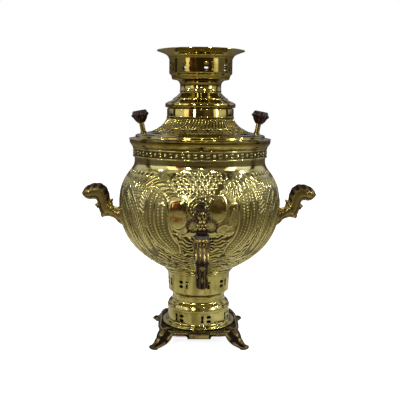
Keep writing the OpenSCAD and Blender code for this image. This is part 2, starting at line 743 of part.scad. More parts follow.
// The trefoil key, drawn flat with its foot at y = 0
module key_shape() {
    lobe = [8.6, 4.6];
    lobe_x = key_w / 2 - lobe[0] - 1.1;
    lobe_y = 11;
    top_y = key_h - 16.5;
    difference() {
        union() {
            polygon([[-7, 0], [7, 0], [9, 5], [6, 12], [-6, 12], [-9, 5]]);
            for (side = [-1, 1]) {
                translate([side * lobe_x, lobe_y]) circle(r = lobe[0]);
                polygon([[side * (lobe_x + 4), lobe_y - 3], [side * key_w / 2, lobe_y], [side * (lobe_x + 4), lobe_y + 3]]);
                polygon([[side * lobe_x, lobe_y - 4], [side * (key_w / 2 - 1.4), lobe_y - 9],
                    [side * (lobe_x + 2), lobe_y + 2]]);
            }
            translate([0, top_y]) circle(r = lobe[0] - 0.3);
            polygon([[-3.4, top_y + 6], [3.4, top_y + 6], [2, key_h - 5], [-2, key_h - 5]]);
            translate([0, key_h - 4]) circle(r = 4);
            translate([0, lobe_y + 1]) circle(r = 7);
        }
        for (side = [-1, 1])
            translate([side * (lobe_x + 0.4), lobe_y]) circle(r = lobe[1]);
        translate([0, top_y + 0.6]) circle(r = lobe[1] - 0.2);
    }
}

module tap_key() {
    color(bronze) translate([0, -plug_y, key_foot_z]) difference() {
        union() {
            translate([0, key_t / 2, 0]) rotate([90, 0, 0]) linear_extrude(height = key_t) key_shape();
            cylinder(r = 7.5, h = plug_tang[1] + 1);
            translate([0, key_t / 2 + 1, 12]) rotate([90, 0, 0]) cylinder(r = 4.6, h = key_t + 2);
        }
        translate([0, 0, plug_tang[1] / 2])
            cube([plug_tang[0] + 2 * seat_gap, plug_tang[0] + 2 * seat_gap, plug_tang[1] + 0.02], center = true);
    }
}

plug_washer_z = z_tap - barrel_h / 2 - plug_gap - plug_washer[1];

module plug_washer() {
    color(brass) translate([0, -plug_y, plug_washer_z]) difference() {
        cylinder(r = plug_washer[0], h = plug_washer[1]);
        translate([0, 0, -1]) cylinder(r = plug_tail[0] + seat_gap, h = plug_washer[1] + 2);
    }
}

module plug_nut() {
    color(brass) translate([0, -plug_y, plug_washer_z - plug_nut[1]]) difference() {
        cylinder(r = plug_nut[0], h = plug_nut[1], $fn = 6);
        translate([0, 0, -1]) cylinder(r = plug_tail[0] + seat_gap, h = plug_nut[1] + 2);
    }
}

// ---- Pedestal ----

module upper_gallery() {
    line = [[gallery_low_r, z_gallery], [gallery_top_r, z_foot_ring]];
    color(brass) difference() {
        spun(line, level_face(line, pedestal_t));
        vent_cutters(gallery_low_r, z_gallery + gallery_h / 2, upper_vents, 11, 1, vent_h);
    }
}

module pedestal_waist() {
    shoulder = drum_r + 0.6;
    line = concat([[drum_r, 0], [shoulder, 0.8], [shoulder, 5.6], [drum_r - 1, 7.4]],
        curve([drum_r - 1, 8.6], [drum_r - 3, 12], [waist_r, 12], [waist_r, 16]),
        curve([waist_r, waist_h - 10], [waist_r, waist_h - 5.5],
            [gallery_low_r - 3.3, waist_h - 3], [gallery_low_r, waist_h - 1.5]),
        [[gallery_low_r, waist_h]]);
    color(brass) spun(raised(line, z_waist), raised(level_face(line, pedestal_t), z_waist));
}

module lower_gallery() {
    line = [[drum_r, z_drum], [drum_r, z_waist]];
    color(brass) difference() {
        spun(line, level_face(line, pedestal_t));
        vent_cutters(drum_r, z_drum + drum_h / 2, lower_vents, 12, -1, vent_h);
    }
}

module base_ring() {
    in_r = drum_in_r - 0.2;
    foot_r = drum_r + ring_foot_w;
    color(brass) difference() {
        turned(raised(concat([[in_r, 0], [foot_r, 0], [foot_r, 0.8]],
            arc(lip_r - lip_round, 0.8 + lip_round, lip_round, -90, 90),
            [[foot_r + 1.6, 3.7], [foot_r + 0.2, 4], [drum_r + 1.6, 5], [drum_r + 0.6, ring_h], [in_r, ring_h]]), z_ring));
        base_screw_places() cylinder(r = base_screw_r + seat_gap, h = base_screw_grip + seat_gap);
    }
}

module ash_plate() {
    r = drum_in_r - 0.2 - ash_gap;
    color("#8a7440") translate([0, 0, z_ring]) difference() {
        cylinder(r = r, h = ash_plate_rim);
        translate([0, 0, ash_plate_t]) cylinder(r = r - ash_plate_t, h = ash_plate_rim);
    }
}

// ---- Base ----

module base_screw_places() {
    for (i = [0:3])
        rotate([0, 0, 90 * i + base_screw_turn]) translate([base_screw_at, 0, z_ring]) children();
}

module foot_places() {
    for (i = [0:3])
        rotate([0, 0, 45 + 90 * i]) children();
}

module rounded_square(half, r) {
    square([2 * half, 2 * (half - r)], center = true);
    square([2 * (half - r), 2 * half], center = true);
    for (x = [-1, 1], y = [-1, 1])
        translate([x * (half - r), y * (half - r)]) circle(r = r);
}

// Front view of a tab: square foot with a cove on either side up to the plate
module tab_shape() {
    w = tab_w / 2;
    polygon(concat([[-w, -tab_h], [w, -tab_h]],
        arc(w + tab_fillet, -base_plate_t - tab_fillet, tab_fillet, 180, 90),
        [[w + tab_fillet, -1], [-w - tab_fillet, -1]],
        arc(-w - tab_fillet, -base_plate_t - tab_fillet, tab_fillet, 90, 0)));
}

module base_frame() {
    color(bronze) difference() {
        union() {
            translate([0, 0, plate_z]) linear_extrude(height = base_plate_t) rounded_square(base_half, base_corner_r);
            for (i = [0:3])
                rotate([0, 0, 90 * i]) {
                    translate([0, -base_half + tab_d, base_h]) rotate([90, 0, 0])
                        linear_extrude(height = tab_d - 0.4) tab_shape();
                    translate([-tab_w / 2, -base_half - tab_proud, base_h - tab_h]) cube([tab_w, tab_d, tab_h - 0.6]);
                }
        }
        translate([0, 0, plate_z - 1]) cylinder(r = base_hole_r, h = base_plate_t + 2);
        base_screw_places() translate([0, 0, -base_plate_t - 1])
            cylinder(r = base_screw_r + seat_gap, h = base_plate_t + 2);
        foot_places() translate([foot_screw_at, 0, plate_z - 1])
            cylinder(r = foot_screw_r + seat_gap, h = foot_screw_grip + 1 + seat_gap);
    }
}

// Leaf foot, drawn along +X: a splayed blade that ends in an upturned toe
module foot() {
    root = base_corner_reach - 8.6;
    slope_z = plate_z - 5.4;
    tip = toe_r;
    half = foot_w / 2;
    toe = toe_w / 2;
    stations = [[root, plate_z - 0.01, 7.4, half - 1.5], [root + 2.8, slope_z, 7.2, half],
        [tip - 27.5, slope_z - 4, 6, half - 0.6], [tip - 20.5, 5.6, 4.9, (half + toe) / 2],
        [tip - 13.5, 3.6, 3.8, toe + 0.8], [tip - 7, 3.1, 3, toe], [tip - 2.2, 3.6, 2.8, toe - 0.6],
        [tip - 0.4, 4, 2, toe - 2.4]];
    difference() {
        union() {
            intersection() {
                swept(stations, round_ring(20));
                translate([0, -50, 0]) cube([150, 100, plate_z]);
            }
            translate([foot_screw_at - 5, -foot_lug_w / 2, plate_z - foot_lug_t]) cube([18, foot_lug_w, foot_lug_t]);
            translate([tip - 10, 0, 0]) cylinder(r = foot_pad[0], h = foot_pad[1]);
        }
        translate([foot_screw_at, 0, -1]) cylinder(r = foot_screw_r + seat_gap, h = base_h);
        translate([foot_screw_at, 0, -1]) cylinder(r = foot_screw_head[0] + 0.3, h = plate_z - foot_lug_t + 1);
    }
}

module foot_front_left() { color(bronze) rotate([0, 0, 225]) foot(); }
module foot_front_right() { color(bronze) rotate([0, 0, 315]) foot(); }
module foot_back_left() { color(bronze) rotate([0, 0, 135]) foot(); }
module foot_back_right() { color(bronze) rotate([0, 0, 45]) foot(); }

module foot_screws() {
    head_z = plate_z - foot_lug_t - foot_screw_head[1];
    color(iron) foot_places() translate([foot_screw_at, 0, head_z]) {
        cylinder(r = foot_screw_head[0], h = foot_screw_head[1]);
        cylinder(r = foot_screw_r, h = foot_screw_head[1] + foot_lug_t + foot_screw_grip);
    }
}

module base_screws() {
    length = base_plate_t + base_screw_grip;
    color(iron) base_screw_places() translate([0, 0, -base_plate_t - base_screw_head[1]]) {
        cylinder(r = base_screw_head[0], h = base_screw_head[1]);
        cylinder(r = base_screw_r, h = base_screw_head[1] + length);
    }
}

crown_rim();
crown_gallery();
crown_neck();
crown_skirt();
lid_cover();
lid_rim();
lid_knob(-1);  // lid_knob_left
lid_knob(1);  // lid_knob_right
knob_stem(-1);  // knob_stem_left
knob_stem(1);  // knob_stem_right
knob_washers();
knob_nuts();
body_shell();
collar_band();
body_foot_ring();
fire_tube();
grate();
handle_left();
handle_right();
handle_washers();
handle_nuts();
tap_backplate();
tap_body();
tap_saddle();
tap_seal();
tap_locknut();
tap_plug();
tap_key();
plug_washer();
plug_nut();
upper_gallery();
pedestal_waist();
lower_gallery();
base_ring();
ash_plate();
base_frame();
foot_front_left();
foot_front_right();
foot_back_left();
foot_back_right();
foot_screws();
base_screws();
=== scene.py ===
import math
import bmesh
import bpy
import numpy as np
from mathutils import Matrix, Vector


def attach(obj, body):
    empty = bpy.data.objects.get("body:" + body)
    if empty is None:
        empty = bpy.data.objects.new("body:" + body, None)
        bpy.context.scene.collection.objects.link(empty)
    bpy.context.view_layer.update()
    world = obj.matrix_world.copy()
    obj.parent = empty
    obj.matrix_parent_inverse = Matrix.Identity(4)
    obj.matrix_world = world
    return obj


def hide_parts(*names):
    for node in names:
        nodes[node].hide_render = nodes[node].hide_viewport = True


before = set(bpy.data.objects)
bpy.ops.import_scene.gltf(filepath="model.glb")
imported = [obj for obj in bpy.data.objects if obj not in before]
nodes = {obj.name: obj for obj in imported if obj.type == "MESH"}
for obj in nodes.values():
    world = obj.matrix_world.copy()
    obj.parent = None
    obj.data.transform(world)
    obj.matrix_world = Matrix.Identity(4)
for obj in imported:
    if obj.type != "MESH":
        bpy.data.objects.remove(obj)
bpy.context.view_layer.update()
scene = bpy.context.scene
print("frame loaded:", len(nodes), "nodes")


class Link:  # wraps a socket, so that sums on it add Math nodes
    def __init__(self, sheet, socket):
        self.sheet, self.socket = sheet, socket

    def __add__(self, other):
        return self.sheet.maths("ADD", self, other)

    def __sub__(self, other):
        return self.sheet.maths("SUBTRACT", self, other)

    def __rsub__(self, other):
        return self.sheet.maths("SUBTRACT", other, self)

    def __mul__(self, other):
        return self.sheet.maths("MULTIPLY", self, other)

    def __truediv__(self, other):
        return self.sheet.maths("DIVIDE", self, other)

    def __pow__(self, other):
        return self.sheet.maths("POWER", self, other)

    __radd__ = __add__
    __rmul__ = __mul__


class Sheet:  # the node tree of one material or world
    def __init__(self, owner):
        owner.use_nodes = True
        self.tree = owner.node_tree
        self.tree.nodes.clear()

    def add(self, kind, settings=None, values=(), output=0):
        node = self.tree.nodes.new(kind)
        for name, setting in (settings or {}).items():
            if name == "stops":
                ramp = node.color_ramp
                for place, colour in setting[len(ramp.elements):]:
                    ramp.elements.new(place)
                for element, (place, colour) in zip(ramp.elements, setting):
                    element.position, element.color = place, colour
            else:
                setattr(node, name, setting)
        for key, value in values.items() if isinstance(values, dict) else enumerate(values):
            if isinstance(value, Link):
                self.tree.links.new(value.socket, node.inputs[key])
            else:
                node.inputs[key].default_value = value
        return Link(self, node.outputs[output]) if node.outputs else None

    def maths(self, operation, *values):
        return self.add("ShaderNodeMath", {"operation": operation}, values)

    def measure(self, operation, *vectors):
        return self.add("ShaderNodeVectorMath", {"operation": operation}, vectors, output=1)

    def axes(self, vector):
        parts = self.add("ShaderNodeSeparateXYZ", {}, [vector])
        return (Link(self, parts.socket.node.outputs[axis]) for axis in "XYZ")

    def blend(self, factor, low, high):  # colours by a factor
        return self.add("ShaderNodeMix", {"data_type": "RGBA"}, {0: factor, 6: low, 7: high}, output=2)

    def between(self, value, low, high, start=0.0, end=1.0):
        return self.add("ShaderNodeMapRange", {"interpolation_type": "SMOOTHSTEP"}, [value, low, high, start, end])

    def step(self, value, low, high, before, after):  # from one colour to the next while a value rises
        return self.blend(self.between(value, low, high), before, after)

    def place(self):
        return self.add("ShaderNodeTexCoord", output="Object")

    def noise(self, scale, detail=4.0, where=None):
        return self.add("ShaderNodeTexNoise", {}, {"Vector": where or self.place(), "Scale": scale, "Detail": detail,
                                                   "Roughness": 0.55})


def rgb(red, green, blue):
    return (red, green, blue, 1.0)


# camera
shot = {"azimuth": -1.5, "pitch": 8.3, "roll": 0.6, "distance": 0.975, "aimHeight": 0.209, "aimRight": 0.0008,
        "focal": 650, "frameSize": 400, "sensor": 36, "clip": (0.05, 20)}
camera = bpy.data.objects.new("camera", bpy.data.cameras.new("camera"))
scene.collection.objects.link(camera)
scene.camera = camera
turn, pitch = math.radians(shot["azimuth"]), math.radians(shot["pitch"])
away = Vector((math.sin(turn) * math.cos(pitch), -math.cos(turn) * math.cos(pitch), math.sin(pitch)))
toRight = Vector((math.cos(turn), math.sin(turn), 0))
aim = (-away).to_track_quat("-Z", "Y").to_matrix() @ Matrix.Rotation(math.radians(shot["roll"]), 3, "Z")
camera.matrix_world = aim.to_4x4()
camera.location = Vector((0, 0, shot["aimHeight"])) + away * shot["distance"] + toRight * shot["aimRight"]
camera.data.sensor_width = shot["sensor"]
camera.data.lens = shot["sensor"] * shot["focal"] / shot["frameSize"]
camera.data.clip_start, camera.data.clip_end = shot["clip"]

# the room that the metal mirrors
studio = {
    "plain": rgb(0.32, 0.32, 0.33), "window": 1.35, "windowSides": (0.15, 0.275),
    "windowTop": 0.62, "sill": (0.07, 0.16),
    "dado": rgb(0.05, 0.03, 0.012), "dadoMirror": 0.17, "curtain": rgb(0.24, 0.05, 0.02), "curtainAt": 0.388,
    "ceilingFrom": (0.26, 0.62), "stretch": (1.0, 1.0, 2.2),
    # patches overhead in front and behind: scale and detail of the noise, two steps, dark, middle and bright colour
    "front": (2.6, 4, (0.44, 0.49, 0.57, 0.61), rgb(0.05, 0.033, 0.02), rgb(0.32, 0.32, 0.33), rgb(0.95, 0.95, 0.93)),
    "behind": (5, 3, (0.46, 0.50, 0.55, 0.58), rgb(0.03, 0.02, 0.012), rgb(0.40, 0.39, 0.36), rgb(1.6, 1.6, 1.7)),
    "tints": {"dark": (1.0, 0.76, 0.48), "bright": (0.97, 1.0, 1.2)}, "darkBelow": 0.2,
    # what stands round the object, from behind its left to behind its right, as shares of a full turn
    "walls": [(0.0, 0.50), (0.07, 0.14), (0.12, 0.70), (0.19, 0.80), (0.205, 0.03), (0.228, 0.03), (0.236, 1.0),
              (0.335, 1.0), (0.345, 0.06), (0.42, 0.025), (0.47, 0.06), (0.52, 0.05), (0.545, 0.17), (0.60, 0.15),
              (0.655, 0.03), (0.662, 1.0), (0.765, 1.0), (0.775, 0.03), (0.80, 0.03), (0.81, 0.80), (0.88, 0.70),
              (0.93, 0.14), (1.0, 0.50)]}

world = bpy.data.worlds.new("studio")
scene.world = world
sheet = Sheet(world)
direction = sheet.add("ShaderNodeTexCoord", output="Generated")
east, north, up = sheet.axes(direction)
turnShare = sheet.maths("ARCTAN2", east, 0 - north) / (2 * math.pi) + 0.5


def tinted(level):
    return rgb(*(level * tint for tint in studio["tints"]["dark" if level < studio["darkBelow"] else "bright"]))


def patchwork(scale, detail, steps, dark, middle, bright):
    noise = sheet.noise(scale, detail, spread)
    return sheet.step(noise, *steps[:2], dark, sheet.step(noise, *steps[2:], middle, bright))


walls = sheet.add("ShaderNodeValToRGB", {"stops": [(place, tinted(level)) for place, level in studio["walls"]]},
                  [turnShare])
side = sheet.maths("ABSOLUTE", turnShare - 0.5)
near, far = studio["windowSides"]
inWindow = (sheet.between(side, near, near + 0.01) * sheet.between(side, far - 0.01, far, 1.0, 0.0)
            * sheet.between(up, studio["windowTop"] - 0.04, studio["windowTop"], 1.0, 0.0))
dado = sheet.blend(studio["dadoMirror"], studio["dado"], walls)
lit = sheet.step(up, *studio["sill"], dado, sheet.blend(inWindow, walls, tinted(studio["window"])))
besideCurtain = sheet.maths("ABSOLUTE", turnShare - studio["curtainAt"])
curtain = sheet.between(besideCurtain, 0.018, 0.03, 1.0, 0.0) * sheet.between(up, 0.0, 0.02)
lit = sheet.blend(curtain, lit, studio["curtain"])
spread = sheet.add("ShaderNodeMapping", {}, {"Vector": direction, "Scale": studio["stretch"]})
above = sheet.step(north, -0.2, 0.2, patchwork(*studio["front"]), patchwork(*studio["behind"]))
room = sheet.step(up, *studio["ceilingFrom"], lit, above)
cameraRay = sheet.add("ShaderNodeLightPath", output="Is Camera Ray")
glossyRay = sheet.add("ShaderNodeLightPath", output="Is Glossy Ray")
seen = sheet.blend(cameraRay, sheet.blend(glossyRay, studio["plain"], room), rgb(1, 1, 1))
sheet.add("ShaderNodeOutputWorld", {}, [sheet.add("ShaderNodeBackground", {}, [seen, 1.0])])

# lamps: place, size, power, and for some the height they aim at and their colour
lamps = {"windowLeft": ((-1.4, -1.2, 0.9), (0.5, 0.9), 3.2), "windowRight": ((1.5, -1.1, 0.9), (0.6, 0.9), 3),
         "overhead": ((0.0, 0.1, 1.9), (0.8, 0.8), 5),
         "lampLeft": ((-0.62, -1.58, 0.90), (0.10, 0.6), 6, 0.25, (0.84, 0.93, 1)),
         "lampRight": ((1.45, -0.93, 0.90), (0.12, 0.6), 6, 0.25, (0.84, 0.93, 1)),
         "spot1": ((-0.75, -1.25, 1.55), (0.1, 0.1), 4), "spot2": ((0.62, -1.35, 1.6), (0.1, 0.1), 4),
         "spot3": ((-1.5, -0.35, 1.2), (0.1, 0.1), 4), "spot4": ((1.5, -0.2, 1.3), (0.1, 0.1), 4),
         "spot5": ((0.05, -1.9, 1.15), (0.1, 0.1), 2), "spot6": ((-0.2, 0.9, 1.7), (0.1, 0.1), 3)}


def addLamp(name, place, size, power, aimHeight=0.2, colour=(1, 1, 1)):
    data = bpy.data.lights.new(name, "AREA")
    data.shape, data.size, data.size_y = "RECTANGLE", *size
    data.energy, data.color = power, colour
    lamp = bpy.data.objects.new(name, data)
    scene.collection.objects.link(lamp)
    lamp.location = place
    lamp.rotation_mode = "QUATERNION"
    lamp.rotation_quaternion = (Vector((0, 0, aimHeight)) - Vector(place)).to_track_quat("-Z", "Y")


for name, lamp in lamps.items():
    addLamp(name, *lamp)

# floor: white to the camera; for what the metal mirrors, a painted pool of light, bright round the object with darker
# ground further out
ground = {"size": 3.0, "white": rgb(0.93, 0.93, 0.93), "glow": 0.86, "near": rgb(1.0, 0.99, 0.97),
          "shade": rgb(0.50, 0.45, 0.36), "far": rgb(0.32, 0.28, 0.20), "litPoolFade": (0.20, 0.66),
          "rug": rgb(0.16, 0.038, 0.016), "rugAt": (-0.50, -0.86, 0.0), "rugReach": (0.04, 0.30)}
bm = bmesh.new()
bmesh.ops.create_grid(bm, x_segments=8, y_segments=8, size=ground["size"])
floorMesh = bpy.data.meshes.new("floor")
bm.to_mesh(floorMesh)
bm.free()
floor = bpy.data.objects.new("floor", floorMesh)
scene.collection.objects.link(floor)
floorPaint = bpy.data.materials.new("floorPaint")
sheet = Sheet(floorPaint)
blotched = sheet.step(sheet.noise(9, 3), 0.42, 0.56, ground["shade"], ground["near"])
# painted pool of light: the ground darkens with distance from the object
colour = sheet.step(sheet.measure("LENGTH", sheet.place()), *ground["litPoolFade"], blotched, ground["far"])
fromRug = sheet.measure("DISTANCE", sheet.place(), ground["rugAt"])
colour = sheet.step(fromRug, *ground["rugReach"], ground["rug"], colour)
cameraRay = sheet.add("ShaderNodeLightPath", output="Is Camera Ray")
matt = sheet.add("ShaderNodeBsdfDiffuse", {}, {"Color": colour})
white = sheet.add("ShaderNodeBsdfDiffuse", {}, {"Color": ground["white"]})
glow = sheet.add("ShaderNodeEmission", {}, [rgb(1, 1, 1), ground["glow"]])
both = sheet.add("ShaderNodeAddShader", {}, [white, glow])
sheet.add("ShaderNodeOutputMaterial", {}, [sheet.add("ShaderNodeMixShader", {}, [cameraRay, matt, both])])
floor.data.materials.append(floorPaint)
scene.view_settings.view_transform = "Standard"
print("studio made")

# metals: patch and grain of the noise, roughness and how much it varies, bump, bright and dull colour, and extras
crownBrasses = (0.40, 0.32, 0.085), (0.19, 0.135, 0.028)
pedestalBrasses = (0.54, 0.475, 0.17), (0.36, 0.30, 0.085)
tinned = (0.55, 0.54, 0.50), (0.30, 0.28, 0.24)
metals = {
    "spunBrass": (14, 120, 0.09, 0.06, 0.02, (0.58, 0.515, 0.19), (0.41, 0.345, 0.10), {}),
    "turnedBrass": (14, 120, 0.09, 0.06, 0.05, *pedestalBrasses, {"turned": True}),
    "crownBrass": (14, 120, 0.05, 0.04, 0.02, *crownBrasses, {"turned": True}),
    "crownChased": (18, 300, 0.1, 0.1, 0.05, *crownBrasses, {"wax": (0.03, 0.02, 0.004), "recess": (0.1, 0.7)}),
    # the galleries' inner faces are painted black: soot, and painted shade that darkens what the vents show
    "upperGalleryBrass": (14, 120, 0.1, 0.06, 0.03, *pedestalBrasses, {"sootAndShade": [(0.04186, 0.04528)]}),
    "lowerGalleryBrass": (14, 120, 0.1, 0.06, 0.03, *pedestalBrasses, {"sootAndShade": [(0.0459, 0)]}),
    "chasedBrass": (18, 300, 0.07, 0.06, 0.05, (0.66, 0.585, 0.235), (0.49, 0.415, 0.14),
                    {"wax": (0.06, 0.043, 0.009), "recess": (0.16, 0.7)}),
    "castBronze": (60, 400, 0.24, 0.16, 0.15, (0.27, 0.205, 0.065), (0.11, 0.078, 0.030), {}),
    "castIron": (40, 500, 0.5, 0.3, 0.4, (0.06, 0.055, 0.05), (0.018, 0.015, 0.013), {}),
    "tapBronze": (50, 400, 0.18, 0.16, 0.1, (0.44, 0.34, 0.10), (0.24, 0.17, 0.06),
                  {"wax": (0.024, 0.014, 0.016), "recess": (0.15, 0.85)}),
    "plateBronze": (50, 400, 0.14, 0.14, 0.1, (0.60, 0.52, 0.24), (0.36, 0.28, 0.10),
                    {"wax": (0.010, 0.006, 0.005), "recess": (0.45, 0.9)}),
    "footBronze": (50, 400, 0.16, 0.14, 0.12, (0.33, 0.24, 0.07), (0.12, 0.082, 0.03),
                   {"wax": (0.016, 0.010, 0.008), "recess": (0.25, 0.95)}),
    "plugMetal": (50, 300, 0.16, 0.16, 0.1, (0.46, 0.44, 0.40), (0.10, 0.085, 0.08), {}),
    "wornBronze": (50, 400, 0.18, 0.16, 0.12, (0.34, 0.255, 0.075), (0.17, 0.12, 0.042),
                   {"wax": (0.022, 0.014, 0.010), "recess": (0.12, 0.8)}),
    "tinnedInside": (24, 90, 0.35, 0.2, 0.1, *tinned, {}),
    "tubeMetal": (24, 90, 0.35, 0.2, 0.1, *tinned, {"sootAndShade": [(0.0252, 0), (0.0484, -0.0892)]})}
paints = {}  # the finished materials by name


def finishPaint(name, sheet, values):
    sheet.add("ShaderNodeOutputMaterial", {}, [sheet.add("ShaderNodeBsdfPrincipled", {}, values)])


def makeMetal(name, patch, grain, smoothest, spread, bump, bright, dull, wax=(), recess=(), sootAndShade=(), turned=False):
    paints[name] = bpy.data.materials.new(name)
    sheet = Sheet(paints[name])
    broad, fine = sheet.noise(patch, 3), sheet.noise(grain, 5)
    colour = sheet.step(broad * 0.7 + fine * 0.3, 0.36, 0.64, rgb(*dull), rgb(*bright))
    rough, tall = smoothest + fine * spread, fine
    if recess:  # dark wax left in what is sunk
        relief = sheet.add("ShaderNodeAttribute", {"attribute_name": "relief"}, output="Fac")
        sunk = sheet.between(relief + (broad - 0.5) * 0.25, *recess)
        colour = sheet.blend(sunk, rgb(*wax), colour)
        rough = rough + (1 - sunk) * 0.4
    if sootAndShade:  # black behind the sheet's outer face, whose radius is given in metres by lines of height: soot, and in the galleries painted shade seen through the vents
        x, y, z = sheet.axes(sheet.place())
        lines = [z * slope + radius for radius, slope in sootAndShade]
        face = lines[0] if len(lines) == 1 else sheet.maths("MAXIMUM", *lines)
        outer = sheet.between((x * x + y * y) ** 0.5 - face, -0.0001, 0.0001)
        # painted black inside: soot, and painted shade behind the gallery vents
        colour = sheet.blend(outer, rgb(0.004, 0.0035, 0.003), colour)
        rough = rough + (1 - outer) * 0.6
    if turned:  # fine rings left by the lathe
        rings = sheet.add("ShaderNodeMapping", {}, {"Vector": sheet.place(), "Scale": (30, 30, 5000)})
        tall = tall * 0.2 + sheet.noise(1, 2, rings)
    bumped = sheet.add("ShaderNodeBump", {}, {"Strength": bump, "Distance": 0.001, "Height": tall})
    finishPaint(name, sheet, {"Base Color": colour, "Metallic": 1.0, "Roughness": rough, "Normal": bumped})


for name, (*numbers, extras) in metals.items():
    makeMetal(name, *numbers, **extras)
for name, grain, dark, light, values in (
        ("fibreSeal", 300, rgb(0.12, 0.035, 0.02), rgb(0.2, 0.07, 0.04), {"Roughness": 0.8}),
        ("darkKnob", 200, rgb(0.010, 0.003, 0.002), rgb(0.026, 0.006, 0.004),
         {"Roughness": 0.3, "Specular IOR Level": 0.3})):
    paints[name] = bpy.data.materials.new(name)
    sheet = Sheet(paints[name])
    finishPaint(name, sheet, {"Base Color": sheet.blend(sheet.noise(grain), dark, light), **values})
print("paints made:", len(paints))


def turnsOf(count):  # so many angles round a full turn
    return np.linspace(0, 2 * np.pi, count, endpoint=False)


def past(value, start, width):  # 0 up to a start, 1 from a width beyond it
    return np.clip((value - start) / width, 0, 1)


def stroke(distance, width):  # 1 in the middle of a stroke, 0 at its edge
    return 0.5 + 0.5 * np.cos(np.pi * np.clip(distance / width, 0, 1))


def cubic(first, second, third, last, count):
    t = np.linspace(0, 1, count + 1)[:, None]
    first, second, third, last = (np.array(point, float) for point in (first, second, third, last))
    return ((1 - t) ** 3 * first + 3 * (1 - t) ** 2 * t * second + 3 * (1 - t) * t * t * third + t ** 3 * last)


def joined(*lines):  # one line out of several that meet, without the doubled points
    points = [tuple(map(float, point)) for line in lines for point in line]
    return np.array([point for i, point in enumerate(points) if i == 0 or point != points[i - 1]])


def travelled(line):  # how far along a line each of its points is
    return np.concatenate([[0], np.cumsum(np.hypot(*np.diff(line, axis=0).T))])


def outwards(line):  # unit vectors that point away from the axis side of an upward line
    step = np.gradient(line, axis=0)
    return np.stack([step[:, 1], -step[:, 0]], axis=1) / np.hypot(*step.T)[:, None]


def hermite(a, b, c, d, t):  # from b to c on a soft curve through four points
    return 0.5 * (2 * b + (c - a) * t + (2 * a - 5 * b + 4 * c - d) * t * t + (3 * b - a - 3 * c + d) * t ** 3)


def padded(points):  # one more point before the first and after the last
    return np.concatenate([[2 * points[0] - points[1]], points, [2 * points[-1] - points[-2]]])


